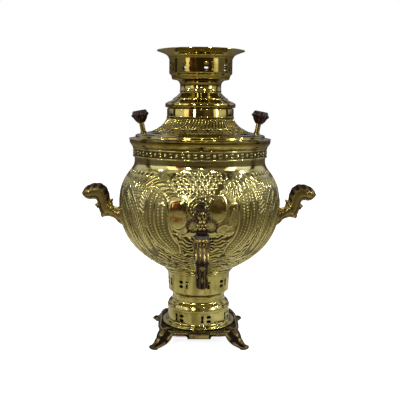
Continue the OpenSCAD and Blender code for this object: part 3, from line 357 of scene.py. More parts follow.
class Chart:  # relief in mm over one repeat of a turned sheet: degrees round it against travel up its outline
    def __init__(self, line, repeat, level, deepest, step=0.45):
        self.line, self.repeat, self.deepest = np.array(line), repeat, deepest
        self.travels, self.outward = travelled(self.line), outwards(self.line)
        half = 180 / repeat
        self.angles = np.linspace(-half, half, int(math.radians(2 * half) * self.line[:, 0].max() / step) + 1)
        self.rows = np.linspace(0, self.travels[-1], int(self.travels[-1] / step) + 1)
        self.radii = np.interp(self.rows, self.travels, self.line[:, 0])
        self.relief = np.full((len(self.rows), len(self.angles)), float(level))

    def up(self, height):  # travel at a height in mm
        return np.interp(height, self.line[:, 1], self.travels)

    def path(self, points, smooth=6):  # a soft curve through points of degrees and height
        if isinstance(points, np.ndarray):  # a path already
            return points
        points = np.array([(angle, self.up(height)) for angle, height in points], float)
        if len(points) < 3 or not smooth:
            return points
        row = padded(points)
        return np.array([hermite(a, b, c, d, t) for a, b, c, d in zip(row, row[1:], row[2:], row[3:])
                         for t in np.arange(smooth) / smooth] + [points[-1]])

    def heading(self, path):  # mm to a degree and to a mm of travel along a path, and its direction in mm
        scale = np.stack([np.radians(np.interp(path[:, 1], self.rows, self.radii)), np.ones(len(path))], axis=1)
        step = np.gradient(path, axis=0) * scale
        return scale, step / np.maximum(np.hypot(*step.T), 1e-9)[:, None]

    def beside(self, path, offset):  # the same path, moved sideways by mm
        path = self.path(path)
        scale, step = self.heading(path)
        return path + offset * np.stack([-step[:, 1] / scale[:, 0], step[:, 0]], axis=1)

    def around(self, path, reach):  # the cells near a path, and how far in mm each is from it
        slimmest = max(np.interp(path[:, 1], self.rows, self.radii).min(), 5)
        spread = math.degrees(reach / slimmest)
        columns = slice(*np.searchsorted(self.angles, [path[:, 0].min() - spread, path[:, 0].max() + spread]))
        rows = slice(*np.searchsorted(self.rows, [path[:, 1].min() - reach, path[:, 1].max() + reach]))
        across = np.radians(self.angles[None, columns])
        up, radii = self.rows[rows, None], self.radii[rows, None]
        distance = np.full((up.shape[0], across.shape[1]), 1e3)
        for start, end in zip(path, path[1:]) if len(path) > 1 else [(path[0], path[0])]:
            right, rise = (across - math.radians(start[0])) * radii, up - start[1]
            toRight = math.radians(end[0] - start[0]) * np.interp((start[1] + end[1]) / 2, self.rows, self.radii)
            toTop = end[1] - start[1]
            share = np.clip((right * toRight + rise * toTop) / max(toRight ** 2 + toTop ** 2, 1e-9), 0, 1)
            distance = np.minimum(distance, np.hypot(right - share * toRight, rise - share * toTop))
        return (rows, columns), distance

    def ridge(self, path, width, top=0.0):
        cells, distance = self.around(self.path(path), width)
        height = self.deepest + (top - self.deepest) * stroke(distance, width)
        self.relief[cells] = np.maximum(self.relief[cells], height)

    def groove(self, path, width, depth):
        cells, distance = self.around(self.path(path), width)
        self.relief[cells] = np.minimum(self.relief[cells], -depth * stroke(distance, width))

    def bead(self, angle, travel, size, top=0.0):
        self.ridge(np.array([(angle, travel)]), size, top)

    def ring(self, angle, travel, radius, width, middle=None):
        cells, distance = self.around(np.array([(angle, travel)]), radius + width)
        if middle is not None:
            self.relief[cells] = np.where(distance < radius, middle, self.relief[cells])
        height = self.deepest * (1 - stroke(abs(distance - radius), width))
        self.relief[cells] = np.maximum(self.relief[cells], height)

    def clear(self, path, reach, level):  # sinks the ground along a path
        cells, distance = self.around(self.path(path), reach)
        self.relief[cells] = np.where(distance < reach, level, self.relief[cells])

    def clearInside(self, path, shares, reach, level):  # sinks the ground that a closed path holds
        middle = path.mean(axis=0)
        for share in shares:
            self.clear(middle + (path - middle) * share, reach, level)

    def spaced(self, path, pitch):  # points every so many mm along a path
        radii = np.interp(path[:, 1], self.rows, self.radii)
        travel = travelled(np.stack([np.radians(path[:, 0]) * radii, path[:, 1]], axis=1))
        where = np.arange(pitch / 2, travel[-1], pitch)
        return [(np.interp(w, travel, path[:, 0]), np.interp(w, travel, path[:, 1])) for w in where]

    def dots(self, path, pitch, size, top=0.0):
        for place in self.spaced(self.path(path), pitch):
            self.bead(*place, size, top)

    def pits(self, path, pitch, size, depth):
        for place in self.spaced(self.path(path), pitch):
            self.groove(np.array([place]), size, depth)

    def barbs(self, path, pitch, reach, lean, width):  # short strokes that leave a path on both sides
        marks = np.array(self.spaced(path, pitch))
        scale, step = self.heading(marks)
        taper = np.sin(np.linspace(0.5, 2.8, len(marks)))
        for side in (-1, 1):
            turn = side * math.radians(lean)
            for mark, ahead, size, mm in zip(marks, step, taper, scale):
                leave = np.array([ahead[0] * math.cos(turn) - ahead[1] * math.sin(turn),
                                  ahead[0] * math.sin(turn) + ahead[1] * math.cos(turn)]) * reach * size
                self.ridge(np.array([mark, mark + leave / mm]), width)

    def sampled(self, turned, travel):  # relief at places given by a share of the repeat and travel
        column = turned * (len(self.angles) - 1)
        row = np.clip(travel / self.rows[-1], 0, 1) * (len(self.rows) - 1)
        left = np.clip(column.astype(int), 0, len(self.angles) - 2)
        low = np.clip(row.astype(int), 0, len(self.rows) - 2)
        right, high, relief = column - left, row - low, self.relief
        blended = ((relief[low, left] * (1 - right) + relief[low, left + 1] * right) * (1 - high)
                   + (relief[low + 1, left] * (1 - right) + relief[low + 1, left + 1] * right) * high)
        return np.clip(blended, self.deepest, 0)


def sharpen(bm, angle):  # smooth faces, with the creases kept crisp
    for face in bm.faces:
        face.smooth = True
    for edge in bm.edges:
        edge.smooth = len(edge.link_faces) == 2 and edge.calc_face_angle(0) < math.radians(angle)


def finishPiece(name, bm, finishes, body, replaced, angle=38, shape=None):  # from mm to a piece of the frame
    bmesh.ops.recalc_face_normals(bm, faces=bm.faces)
    sharpen(bm, angle)
    mesh = bpy.data.meshes.new(name)
    bm.to_mesh(mesh)
    bm.free()
    if shape:
        shape(mesh)
    mesh.transform(Matrix.Scale(0.001, 4))
    piece = bpy.data.objects.new(name, mesh)
    scene.collection.objects.link(piece)
    for finish in finishes:
        mesh.materials.append(paints[finish])
    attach(piece, body)
    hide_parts(replaced)


def spunRing(name, outline, steps, finish, body, replaced, angle=38):  # a closed outline of radii and heights
    bm = bmesh.new()
    verts = [bm.verts.new((0, -radius, height)) for radius, height in outline]
    edges = [bm.edges.new((vert, verts[i - 1])) for i, vert in enumerate(verts)]
    bmesh.ops.spin(bm, geom=verts + edges, cent=(0, 0, 0), axis=(0, 0, 1), angle=math.radians(360), steps=steps,
                   use_merge=True)
    finishPiece(name, bm, [finish], body, replaced, angle)


def chasedSheets(names, chart, cells, coarser, wall, finishes, body, replaced):
    # a front and a back half; in each, two flat grids joined at their edges are bent round the axis, and the near one
    # takes the relief
    def bend(mesh):
        places = np.empty(len(mesh.vertices) * 3)
        mesh.vertices.foreach_get("co", places)
        places = places.reshape(-1, 3)
        angle, travel = start + (places[:, 0] + 1) / 2 * 180, (places[:, 1] + 1) / 2 * chart.travels[-1]
        near, half = places[:, 2] > 0.5, 180 / chart.repeat
        relief = chart.sampled(np.clip((angle + half) % (2 * half) / (2 * half), 0, 1), travel)
        moved = np.where(near, relief, -wall)
        radius, height = (np.interp(travel, chart.travels, chart.line[:, k])
                          + moved * np.interp(travel, chart.travels, chart.outward[:, k]) for k in range(2))
        turned = np.radians(angle)
        bent = np.stack([radius * np.sin(turned), -radius * np.cos(turned), height], axis=1)
        mesh.vertices.foreach_set("co", bent.ravel())
        layer = mesh.attributes.new("relief", "FLOAT", "POINT")
        layer.data.foreach_set("value", 1 - np.where(near, relief, 0) / chart.deepest)

    for name, start in zip(names, (-90, 90)):
        bm = bmesh.new()
        for level, share in ((1, 1), (0, coarser)):
            made = bmesh.ops.create_grid(bm, x_segments=cells[0] // share, y_segments=cells[1] // share, size=1,
                                         matrix=Matrix.Translation((0, 0, level)))
            if not level:
                for face in {face for vert in made["verts"] for face in vert.link_faces}:
                    face.material_index = 1
        bmesh.ops.bridge_loops(bm, edges=[edge for edge in bm.edges if len(edge.link_faces) == 1])
        finishPiece(name, bm, finishes, body, replaced, 50, bend)


# body, with the drawing of its chased work in degrees from the tap and heights
bodyShape = {
    "foot": 52.5, "belly": 120, "bellyHeight": 94, "neck": 96.5, "height": 153, "base": 110, "wall": 1.5,
    "chasedTop": 166.5, "cells": (440, 214), "depth": 1.5, "level": -0.8, "shift": 2.0,
    "bodyFloor": [(33.5, 110.05), (51.4, 110.05), (51.4, 111.5), (33.5, 111.5)],
    "bodyNeck": [(95, 276.5), (96.5, 276.5), (96.5, 288.5), (99.5, 288.5), (99.5, 290), (95, 290)]}
drawing = {
    # ribs of the wings towards each handle, and how far their barbs reach
    "wings": [([(42, 149), (46, 172), (50.5, 194), (55, 212), (62, 228)], 11),
              ([(58, 143), (62, 166), (67, 190), (72, 208), (78, 222)], 11),
              ([(75, 139), (78, 158), (81.5, 178), (84, 196)], 8)],
    "wing": {"ground": -1.02, "pitch": 5.0, "lean": 46, "barb": 1.9, "rib": 2.0, "edge": 1.7},
    # outer and inner edge of the long leaves on either side of the tap
    "leaves": [
        ([(-37.4, 236), (-39.6, 222), (-40.2, 207), (-39.8, 189), (-36.6, 171), (-30, 156), (-22.6, 147)],
         [(-24.6, 224), (-23.8, 210), (-23.6, 196), (-22.6, 182), (-20.2, 170), (-17.4, 161), (-17.8, 149)]),
        ([(37.6, 238), (39.2, 222), (39.4, 205), (38.4, 188), (34.6, 170), (28.6, 155), (20.6, 145)],
         [(24.4, 228), (23.6, 214), (23.9, 200), (23.2, 187), (20.8, 172), (17, 161), (15.4, 149)])],
    "leafBands": ((0.0, "ridge"), (0.2, "dots"), (0.38, "ridge"), (0.57, "dots"), (0.76, "dots"), (1.0, "ridge")),
    # lone strokes and their widths
    "leafTips": [([(-37.6, 236), (-35.6, 241.4), (-31.9, 238.2), (-29.3, 235.4), (-27.1, 231.8), (-24.6, 225)], 2.6),
                 ([(38, 238), (35, 241), (31.4, 237.8), (27, 232.6), (23.6, 228), (21, 222)], 2.4),
                 ([(-30.4, 216), (-28.2, 219.6), (-26.4, 216.6)], 1.8)],
    "scrollEnds": [([(-35.4, 249), (-32.6, 256.4), (-28.4, 256), (-26, 249)], 2.3),
                   ([(35.4, 249), (32.6, 256), (29, 255.6), (27, 250)], 2.0)],
    # smooth ground between the leaves, with scrolls and two plain shields
    "field": [(-22, 232), (-10, 234), (4, 232), (18, 232), (20.5, 214), (20.6, 198), (17, 186), (6, 180), (-8, 180),
              (-19, 186), (-22, 200), (-22.4, 216), (-22, 232)],
    "scrolls": [[(-12, 203), (-10.4, 212), (-11.6, 221), (-14.4, 227)], [(8, 187), (12.6, 192), (17.8, 190),
                (18.6, 199)], [(15.4, 186), (17, 196), (17.6, 206), (19.6, 213)], [(14, 214), (16.6, 219),
                (20.4, 220)], [(-21.4, 187), (-17, 184), (-13, 187), (-10.6, 193)], [(-21, 180), (-15, 177),
                (-10, 181)], [(10, 181), (15, 178), (20, 182)], [(-10, 231), (-4, 227.6), (2, 231)], [(3, 233),
                (8, 230.6), (12, 233)]],
    "shields": [[(-21, 221), (-14.6, 222.6), (-12.9, 212), (-13.2, 197), (-16.4, 189.6), (-20.6, 190), (-21.6, 204),
                 (-21, 221)],
                [(5.2, 228), (11.2, 229.6), (13.2, 219), (12.2, 204), (8.8, 199), (5, 201), (4.4, 214), (5.2, 228)]],
    # ring scales under the shoulder: height, first and last angle of each row, and the beads at their ends
    "scales": [(256.0, -19.4, 15), (249.4, -21.6, 14.4), (242.8, -19.4, 11.4), (236.2, -17.2, 8.4)],
    "beads": [(-22.6, 252), (-23.2, 245), (-24, 238.6), (17.4, 254), (18.6, 248)],
    "feathers": [
        [(-42.6, 243), (-39.4, 248.8), (-36.2, 252)], [(-41, 238), (-37.6, 244.4), (-33.6, 248.6)],
        [(-35.6, 242.4), (-32.6, 244.8), (-28.6, 245.6)], [(-31, 238.6), (-28, 240.4), (-24.4, 240)],
        [(-27.6, 233.4), (-24.6, 235.4), (-21, 235)], [(-24.2, 228), (-21.6, 230.6), (-18, 231)],
        [(14.8, 247), (15.8, 240), (14.6, 234)], [(18.4, 245), (19.8, 237), (19.4, 229)],
        [(21.6, 250), (23.2, 241), (23.2, 232)], [(25, 253), (26.8, 245), (27, 237.4)],
        [(28.8, 252), (30.6, 246.6), (30.6, 241)], [(33, 249), (34.8, 246), (35.8, 243)],
        [(37, 250), (39.4, 246), (41, 241)], [(40, 254), (43, 250), (45, 246)]],
    "rosette": {"angle": -3.2, "height": 214, "ground": 15.2, "rings": ((7.4, 1.9), (15, 1.6))}}


def bulbOutline():
    foot, belly, neck = bodyShape["foot"], bodyShape["belly"], bodyShape["neck"]
    widest, height = bodyShape["bellyHeight"], bodyShape["height"]
    line = joined(cubic((foot, 0), (foot + 32.6, 15.2), (belly, widest - 52), (belly, widest), 60),
                  cubic((belly, widest), (belly, widest + 40), (neck + 5, height - 10.4), (neck + 1.2, height), 40),
                  [(neck + 0.3, height + 2.6), (neck, height + 5), (neck, bodyShape["chasedTop"])])
    return line + (0, bodyShape["base"])


def stippled(chart, pitch, size):  # staggered rows of round dots all over, 0 to 1
    row = np.round(chart.rows / (0.87 * pitch))
    radii = np.interp(row * 0.87 * pitch, chart.rows, chart.radii)
    right = np.radians(chart.angles)[None, :] * radii[:, None] + (row % 2)[:, None] * pitch / 2
    right = (right + pitch / 2) % pitch - pitch / 2
    return stroke(np.hypot(right, (chart.rows - row * 0.87 * pitch)[:, None]), size)


def clouds(random, shape, cell):  # soft random patches, 0 to 1, about so many cells wide
    coarse = random.random((shape[0] // cell + 3, shape[1] // cell + 3))
    down, along = np.arange(shape[0]) / cell, np.arange(shape[1]) / cell
    top, left = down.astype(int), along.astype(int)
    down, along = ((v - v.astype(int)) for v in (down, along))
    down, along = (v * v * (3 - 2 * v) for v in (down[:, None], along[None, :]))
    corners = [coarse[np.ix_(top + i, left + j)] for i in (0, 1) for j in (0, 1)]
    return ((corners[0] * (1 - along) + corners[1] * along) * (1 - down)
            + (corners[2] * (1 - along) + corners[3] * along) * down)


def chaseBody(chart):
    rows, angles = chart.up, chart.angles
    up, across = chart.rows[:, None], np.radians(angles)[None, :] * chart.radii[:, None]
    random = np.random.default_rng(11)
    patches, smaller = (clouds(random, chart.relief.shape, cell) for cell in (14, 7))

    # dotted ground, broken by shallow dents
    ground = past(rows(261), up, 16)
    busy = past(rows(250), up, 6) * np.clip(patches * 2.4 - 0.2, 0, 1)
    chart.relief[:] = -0.95 * ground + 0.75 * stippled(chart, 4.3, 2.0) * busy + 0.3 * (smaller - 0.5) * ground

    # folds that hang in loops round the tap, and lean outwards towards the sides
    drop = np.hypot(across * 1.12, up - rows(252)) + 5.5 * (patches - 0.5) + 2.2 * np.sin(across / 13)
    folds = (0.5 + 0.5 * np.cos(2 * np.pi * drop / 5.9)) * (0.45 + 0.75 * smaller)
    low = np.clip((rows(190) - up + 9 * (patches - 0.5)) / 9, 0, 1)
    chart.relief[:] = chart.relief * (1 - low) + (-1.4 + 1.5 * folds) * low

    wing = drawing["wing"]
    for side in (-1, 1):  # wings towards the handles
        def there(*points):
            return [(side * angle, height) for angle, height in points]
        for rib, reach in drawing["wings"]:
            line = chart.path(there(*rib))
            chart.clear(line, reach, wing["ground"])
            chart.barbs(line, wing["pitch"], reach, wing["lean"], wing["barb"])
            chart.ridge(line, wing["rib"])
            for edge in (-reach, reach):
                chart.ridge(chart.beside(line, edge), wing["edge"])
        for height in np.arange(204, 226, 6):
            chart.ridge(chart.path(there((42.6, height), (46, height + 5), (49.6, height)), 0), 1.8)
        chart.dots(there((42.4, 226), (46, 234), (52, 245)), 4.2, 2.2)
        for angle in np.arange(50, 84, 3.4):
            chart.ridge(there((angle, 236 + 3 * math.sin(angle)), (angle + 2.4, 247)), 1.7)
        for angle in np.arange(43, 85, 5.2):
            chart.ring(side * angle, rows(255.4), 3.7, 1.7, -1.2)
        for angle in np.arange(44, 86, 5.5):
            chart.groove(there((angle - 5, 121), (angle - 1, 134), (angle + 2, 147)), 1.9, 1.45)
            chart.dots(there((angle - 2, 124), (angle + 1.6, 134), (angle + 4.6, 145)), 4.4, 2.0)

    for leaf in drawing["leaves"]:
        outer, inner = (chart.path(line) for line in leaf)
        for share in np.linspace(0, 1, 9):
            chart.clear(outer * (1 - share) + inner * share, 2.6, -1.0)
        for share, kind in drawing["leafBands"]:
            line = outer * (1 - share) + inner * share
            if kind == "ridge":
                chart.ridge(line, 2.1)
            else:
                chart.dots(line, 4.2, 2.1, -0.1)
    for line, width in drawing["leafTips"]:
        chart.ridge(line, width)
    for height in np.arange(5) * 4.4 + 199:
        chart.pits([(29.4, height), (37.4, height)], 4.1, 1.7, 1.45)

    chart.clearInside(chart.path(drawing["field"]), np.linspace(0, 1, 16), 3.2, -0.75)
    for scroll in drawing["scrolls"]:
        chart.ridge(scroll, 2.0)
    for shield in drawing["shields"]:
        line = chart.path(shield)
        chart.clearInside(line, np.linspace(0, 0.95, 10), 3.0, -0.3)
        chart.groove(line, 1.4, 0.55)
    smooth = (chart.relief == -0.75) | (chart.relief == -0.3)
    chart.relief[:] = np.where(smooth, chart.relief + 0.34 * (patches - 0.5), chart.relief)

    # rosette of beads behind the key
    rosette = drawing["rosette"]
    angle, travel = rosette["angle"], rows(rosette["height"])
    chart.clear(np.array([(angle, travel)]), rosette["ground"], -1.25)
    for turned in np.radians(np.arange(0, 360, 22.5)):
        chart.bead(angle + 5.5 * math.cos(turned), travel + 11.4 * math.sin(turned), 2.3)
    for radius, width in rosette["rings"]:
        chart.ring(angle, travel, radius, width)

    for height, start, end in drawing["scales"]:
        chart.clear([(start, height), (end, height)], 4.4, -1.25)
    for height, start, end in drawing["scales"]:
        for angle in np.arange(start, end, 4.4):
            chart.ring(angle, rows(height), 3.2, 1.9, -1.2)
    for bead in drawing["beads"]:
        chart.ridge([bead], 2.7)
    for line, width in drawing["scrollEnds"]:
        chart.ridge(line, width)
    for feather in drawing["feathers"]:
        chart.ridge(feather, 2.2)
        chart.groove(chart.beside(feather, 2.7), 1.7, 1.4)

    # the whole drawing sits a little to the right in front
    moved = angles - bodyShape["shift"] * np.cos(np.radians(angles)) ** 2
    chart.relief[:] = chart.relief[:, np.round(np.interp(moved, angles, np.arange(len(angles)))).astype(int)]

    # a plain bead up each side, and the lines that bound the work
    cells = abs(angles) > 86.6
    blend = past(abs(angles[cells]), 86.6, 1.4)
    chart.relief[:, cells] = chart.relief[:, cells] * (1 - blend) - 0.1 * blend
    plain = np.maximum(past(up, rows(260) + 1.6, 1.6), past(rows(118), up, 1.6))
    chart.relief[:] = chart.relief * (1 - plain)
    chart.groove([(-90, 117.4), (90, 117.4)], 1.2, 1.0)


bulbLine = bulbOutline()
bodyChart = Chart(bulbLine, 2, bodyShape["level"], -bodyShape["depth"])
chaseBody(bodyChart)
print("body chased:", bodyChart.relief.shape)
chasedSheets(("chasedFront", "chasedBack"), bodyChart, bodyShape["cells"], 5, bodyShape["wall"],
             ["chasedBrass", "tinnedInside"], "samovar", "body_shell")
for name, steps, finish in (("bodyFloor", 96, "tinnedInside"), ("bodyNeck", 240, "spunBrass")):
    spunRing(name, bodyShape[name], steps, finish, "samovar", "body_shell")
print("body made")


def softened(points, count):  # a soft curve through rows of numbers, at evenly spaced steps
    row = padded(np.array(points, float))
    where = np.linspace(0, len(points) - 1, count)
    start = np.minimum(where.astype(int), len(points) - 2)
    return hermite(*(row[start + i] for i in range(4)), (where - start)[:, None])


def sweep(bm, rings, lows):  # a skin over rings of points, grown ring by ring, capped at both ends
    spot = bm.verts.layers.int.get("spot") or bm.verts.layers.int.new("spot")
    relief = bm.verts.layers.float.get("relief") or bm.verts.layers.float.new("relief")
    verts = bmesh.ops.create_circle(bm, segments=len(rings[0]), radius=1)["verts"]
    edges = list({edge for vert in verts for edge in vert.link_edges})
    for number, vert in enumerate(verts):
        vert[spot] = number
    made = list(verts)
    ends = [edges]
    for level, (ring, low) in enumerate(zip(rings, lows)):
        if level:
            grown = bmesh.ops.extrude_edge_only(bm, edges=edges)["geom"]
            verts = [item for item in grown if isinstance(item, bmesh.types.BMVert)]
            edges = [item for item in grown if isinstance(item, bmesh.types.BMEdge)
                     and all(vert in verts for vert in item.verts)]
            made += verts
        for vert in verts:
            vert.co = ring[vert[spot]]
            vert[relief] = low[vert[spot]]
    ends.append(edges)
    for end in ends:
        bmesh.ops.contextual_create(bm, geom=end)
    return made


def ringPoints(centre, across, along, turns, swell=1):  # an oval ring about a centre, its radius scaled by swell
    return (centre + (np.cos(turns) * swell)[:, None] * np.array(across)
            + (np.sin(turns) * swell)[:, None] * np.array(along))


def levelled(bm, verts, level):  # how raised the metal takes these points to be
    layer = bm.verts.layers.float["relief"]
    for vert in verts:
        vert[layer] = level


def ball(bm, centre, radius, segments, rings, flat=1):
    verts = bmesh.ops.create_uvsphere(bm, u_segments=segments, v_segments=rings, radius=radius)["verts"]
    bmesh.ops.scale(bm, vec=(1, flat, 1), verts=verts)
    bmesh.ops.translate(bm, vec=centre, verts=verts)
    levelled(bm, verts, 1)


def block(bm, middle, size):
    return bmesh.ops.create_cube(bm, size=1, matrix=Matrix.Translation(middle) @ Matrix.Diagonal((*size, 1)))["verts"]


def spike(bm, root, tip, width, form):  # a thorn that thins from root to tip
    root, tip = np.array(root), np.array(tip)
    ahead = (tip - root) / np.linalg.norm(tip - root)
    across, turns = np.cross(ahead, (0, 1, 0)), turnsOf(form["sides"])
    steps = np.linspace(0, 1, form["rings"])
    sweep(bm, [ringPoints(root + (tip - root) * t + across * form["bow"] * math.sin(math.pi * t),
                          across * width * (1 - form["thin"] * t ** form["curve"]),
                          (0, width * (1 - form["flat"] * t ** form["curve"]), 0), turns) for t in steps],
          [np.full(form["sides"], form["low"] + form["rise"] * t) for t in steps])


# cast handles
handleShape = {
    "sides": 40, "rings": 96, "half": 8.0, "bossAt": (163.6, 219.8), "bossRadius": 5.2, "bossFlat": 0.42,
    "studAt": (109, 0, 185), "studRadius": 3, "studLength": 20,
    "thorn": {"sides": 14, "rings": 7, "bow": 1.2, "thin": 0.78, "flat": 0.7, "curve": 1.6, "low": 0.35, "rise": 0.6},
    # inner and outer edge of the casting, radius and height, and half its thickness as a share
    "edges": [(110.5, 200, 108.5, 171.5, 1.15), (117, 199.4, 113.4, 170.8, 1.15), (122.6, 198.2, 120.6, 173.6, 1.0),
        (127.6, 199, 126.4, 180, 0.92), (130.6, 202.8, 134.6, 183.6, 0.96), (132.6, 207, 143.4, 183.4, 1.0),
        (134.0, 212.8, 148.6, 189.6, 0.96), (135.8, 221.6, 150.9, 197, 0.94), (140.4, 229.2, 152.2, 203.6, 0.98),
        (147.6, 233.4, 154.0, 208.4, 1.0), (156, 233.6, 158.4, 209.6, 1.0), (163.6, 231.4, 163.4, 209, 1.0),
        (170.6, 226.8, 168.6, 210.4, 0.86), (174, 221.4, 172.6, 213.8, 0.6), (175.3, 218.8, 174.6, 216.4, 0.2)],
    # thorns: root, tip, root half widths, all as radius and height
    "thorns": [((135, 207.4), (129.0, 210.2), 3.6), ((150.2, 199.0), (156.2, 201.2), 4.8),
        ((143.0, 187.6), (145.6, 181.8), 4.2), ((132.4, 203.2), (129.6, 204.6), 2.8)]}


def makeHandle(name, side, replaced):
    shape = handleShape
    bm = bmesh.new()
    turns = turnsOf(shape["sides"])
    rings, lows = [], []
    for place, (innerX, innerZ, outerX, outerZ, share) in enumerate(softened(shape["edges"], shape["rings"])):
        t = place / (shape["rings"] - 1)
        inner, outer = np.array([innerX, 0, innerZ]), np.array([outerX, 0, outerZ])
        fromTop = np.abs(turns - np.pi)
        leaf = past(1.25, fromTop, 0.25) * past(t, 0.40, 0.05) * past(0.93, t, 0.05)
        lobes = (0.5 + 0.5 * np.cos(2 * np.pi * t * 11 - 1.9 * fromTop)) ** 0.7
        edgeLine = np.exp(-((np.abs(np.cos(turns)) - 0.62) / 0.09) ** 2) * (1 - leaf)
        vein = np.exp(-(fromTop / 0.16) ** 2)
        scales = (0.5 + 0.5 * np.cos(2 * np.pi * t * 11)) * past(0.40, t, 0.05) * past(t, 0, 0.08)
        swell = 1 + leaf * (0.06 * lobes - 0.05 * vein) - 0.06 * edgeLine + 0.03 * scales
        rings.append(ringPoints((inner + outer) / 2, (outer - inner) / 2, (0, shape["half"] * share, 0), turns,
                                swell))
        lows.append(np.clip(0.66 + leaf * (0.32 * lobes - 0.62 - 0.2 * vein) - 0.5 * edgeLine + 0.3 * scales, 0, 1))
    sweep(bm, rings, lows)
    for root, tip, width in shape["thorns"]:
        spike(bm, (root[0], 0, root[1]), (tip[0], 0, tip[1]), width, shape["thorn"])
    for face in (-1, 1):  # the round eye of the scroll
        ball(bm, (shape["bossAt"][0], face * shape["half"] * 0.86, shape["bossAt"][1]), shape["bossRadius"], 24, 12,
             shape["bossFlat"])
    bmesh.ops.create_cone(bm, cap_ends=True, segments=24, radius1=shape["studRadius"], radius2=shape["studRadius"],
                          depth=shape["studLength"],
                          matrix=Matrix.Translation(shape["studAt"]) @ Matrix.Rotation(math.radians(90), 4, "Y"))
    if side < 0:
        bmesh.ops.rotate(bm, cent=(0, 0, 0), matrix=Matrix.Rotation(math.pi, 3, "Z"), verts=bm.verts)
    finishPiece(name, bm, ["wornBronze"], "samovar", replaced, 60)


makeHandle("scrollLeft", -1, "handle_left")
makeHandle("scrollRight", 1, "handle_right")
print("handles made")

# feet
footShape = {
    "sides": 44, "rings": 56, "heights": (0.7, 26),
    "turns": {"foot_front_left": 225, "foot_front_right": 315, "foot_back_left": 135, "foot_back_right": 45},
    "padAt": (90, 0, 0.75), "padSize": (4.6, 5, 1.5),  # the toe's pad: lower radius, upper radius and depth
    "rootAt": (61.2, 0, 17), "rootSize": (14, 13.6, 3.9),
    # radius, height, half depth, half width
    "stations": [(57.4, 23.0, 1.2, 5), (60, 22.9, 2.2, 8), (64.4, 22.0, 4.2, 12), (68.6, 19.2, 6.8, 13.8),
        (72, 15.4, 8.0, 13.6), (75.4, 12.0, 8.0, 12.4), (79.2, 9.0, 7.2, 10.8), (83.2, 6.6, 5.8, 9.0),
        (87.4, 4.9, 4.5, 7.6), (91.6, 4.0, 3.7, 7.0), (95.2, 4.0, 3.4, 6.6), (97.4, 4.5, 2.6, 5.0),
        (98.4, 4.9, 1.0, 2)]}


def makeFoot(node, turn):
    shape = footShape
    bm = bmesh.new()
    turns = turnsOf(shape["sides"])
    line = softened(shape["stations"], shape["rings"])
    rings, lows = [], []
    for place, (radius, height, depth, width) in enumerate(line):
        t = place / (len(line) - 1)
        ahead = line[min(place + 1, len(line) - 1)] - line[max(place - 1, 0)]
        ahead = ahead[:2] / np.hypot(*ahead[:2])
        upper = np.clip(np.sin(turns) * 2.2 + 0.4, 0, 1)
        ribs = 0.5 + 0.5 * np.cos(4 * (turns - np.pi / 2))
        fade = past(t, 0, 0.1) * past(0.9, t, 0.25)
        collar = math.exp(-((t - 0.46) / 0.04) ** 2)
        swell = 1 + upper * fade * (0.30 * ribs - 0.26) - 0.10 * collar * upper
        ring = ringPoints((radius, 0, height), (0, width, 0),
        np.array([-ahead[1], 0, ahead[0]]) * depth, turns, swell)
        ring[:, 2] = np.clip(ring[:, 2], *shape["heights"])
        rings.append(ring)
        lows.append(np.clip(0.5 * (1 - upper * fade) + upper * fade * ribs ** 1.5 - 0.7 * collar + 0.05, 0, 1))
    sweep(bm, rings, lows)
    lower, upper, depth = shape["padSize"]
    bmesh.ops.create_cone(bm, cap_ends=True, segments=24, radius1=lower, radius2=upper, depth=depth,
                          matrix=Matrix.Translation(shape["padAt"]))
    block(bm, shape["rootAt"], shape["rootSize"])
    bmesh.ops.rotate(bm, cent=(0, 0, 0), matrix=Matrix.Rotation(math.radians(turn), 3, "Z"), verts=bm.verts)
    finishPiece(node.replace("foot", "leafFoot"), bm, ["footBronze"], "samovar", node, 60)


for node, turn in footShape["turns"].items():
    makeFoot(node, turn)
print("feet made")

# lid knobs
knobShape = {
    "sides": 96, "rings": 64, "at": 83.5, "stem": 15, "lean": 11, "flutes": 8, "fluteDepth": 0.20,
    "lidTop": 290 + 11 + (104.5 - 83.5) * math.tan(math.radians(11)) + 3.6,  # height of the lid at the knob
    # radius and height of the turned outline
    "outline": [(0.4, 0), (4.7, 0), (5.6, 0.5), (6.5, 1.6), (8.2, 3.6), (9.4, 5.4), (10.4, 7.4), (11.4, 9.2),
        (12.8, 10.4), (13.4, 11.5), (13.2, 12.7), (12.2, 13.7), (11.5, 15), (10.9, 16.6), (10.1, 17.9), (8.6, 18.4),
        (6.4, 18.2), (4.4, 17.8), (2, 17.9), (0.4, 18)]}


def makeKnob(name, side, node):
    shape = knobShape
    bm = bmesh.new()
    turns = turnsOf(shape["sides"])
    rings, lows = [], []
    for radius, height in softened(shape["outline"], shape["rings"]):
        deep = past(radius, 4.5, 6)
        flute = np.abs(np.sin(turns * shape["flutes"] / 2)) ** 0.75  # rounded lobes with sharp valleys
        rings.append(ringPoints((0, 0, height), (radius, 0, 0), (0, radius, 0), turns,
                                1 - deep * shape["fluteDepth"] * (1 - flute)))
        lows.append(1 - deep * (1 - flute))
    sweep(bm, rings, lows)
    place = (Matrix.Translation((side * shape["at"], 0, shape["lidTop"]))
             @ Matrix.Rotation(math.radians(side * shape["lean"]),
             4, "Y") @ Matrix.Translation((0, 0, shape["stem"])))
    bmesh.ops.transform(bm, matrix=place, verts=bm.verts)
    finishPiece(name, bm, ["darkKnob"], "lid", node, 70)


makeKnob("flutedKnobLeft", -1, "lid_knob_left")
makeKnob("flutedKnobRight", 1, "lid_knob_right")
print("knobs made")

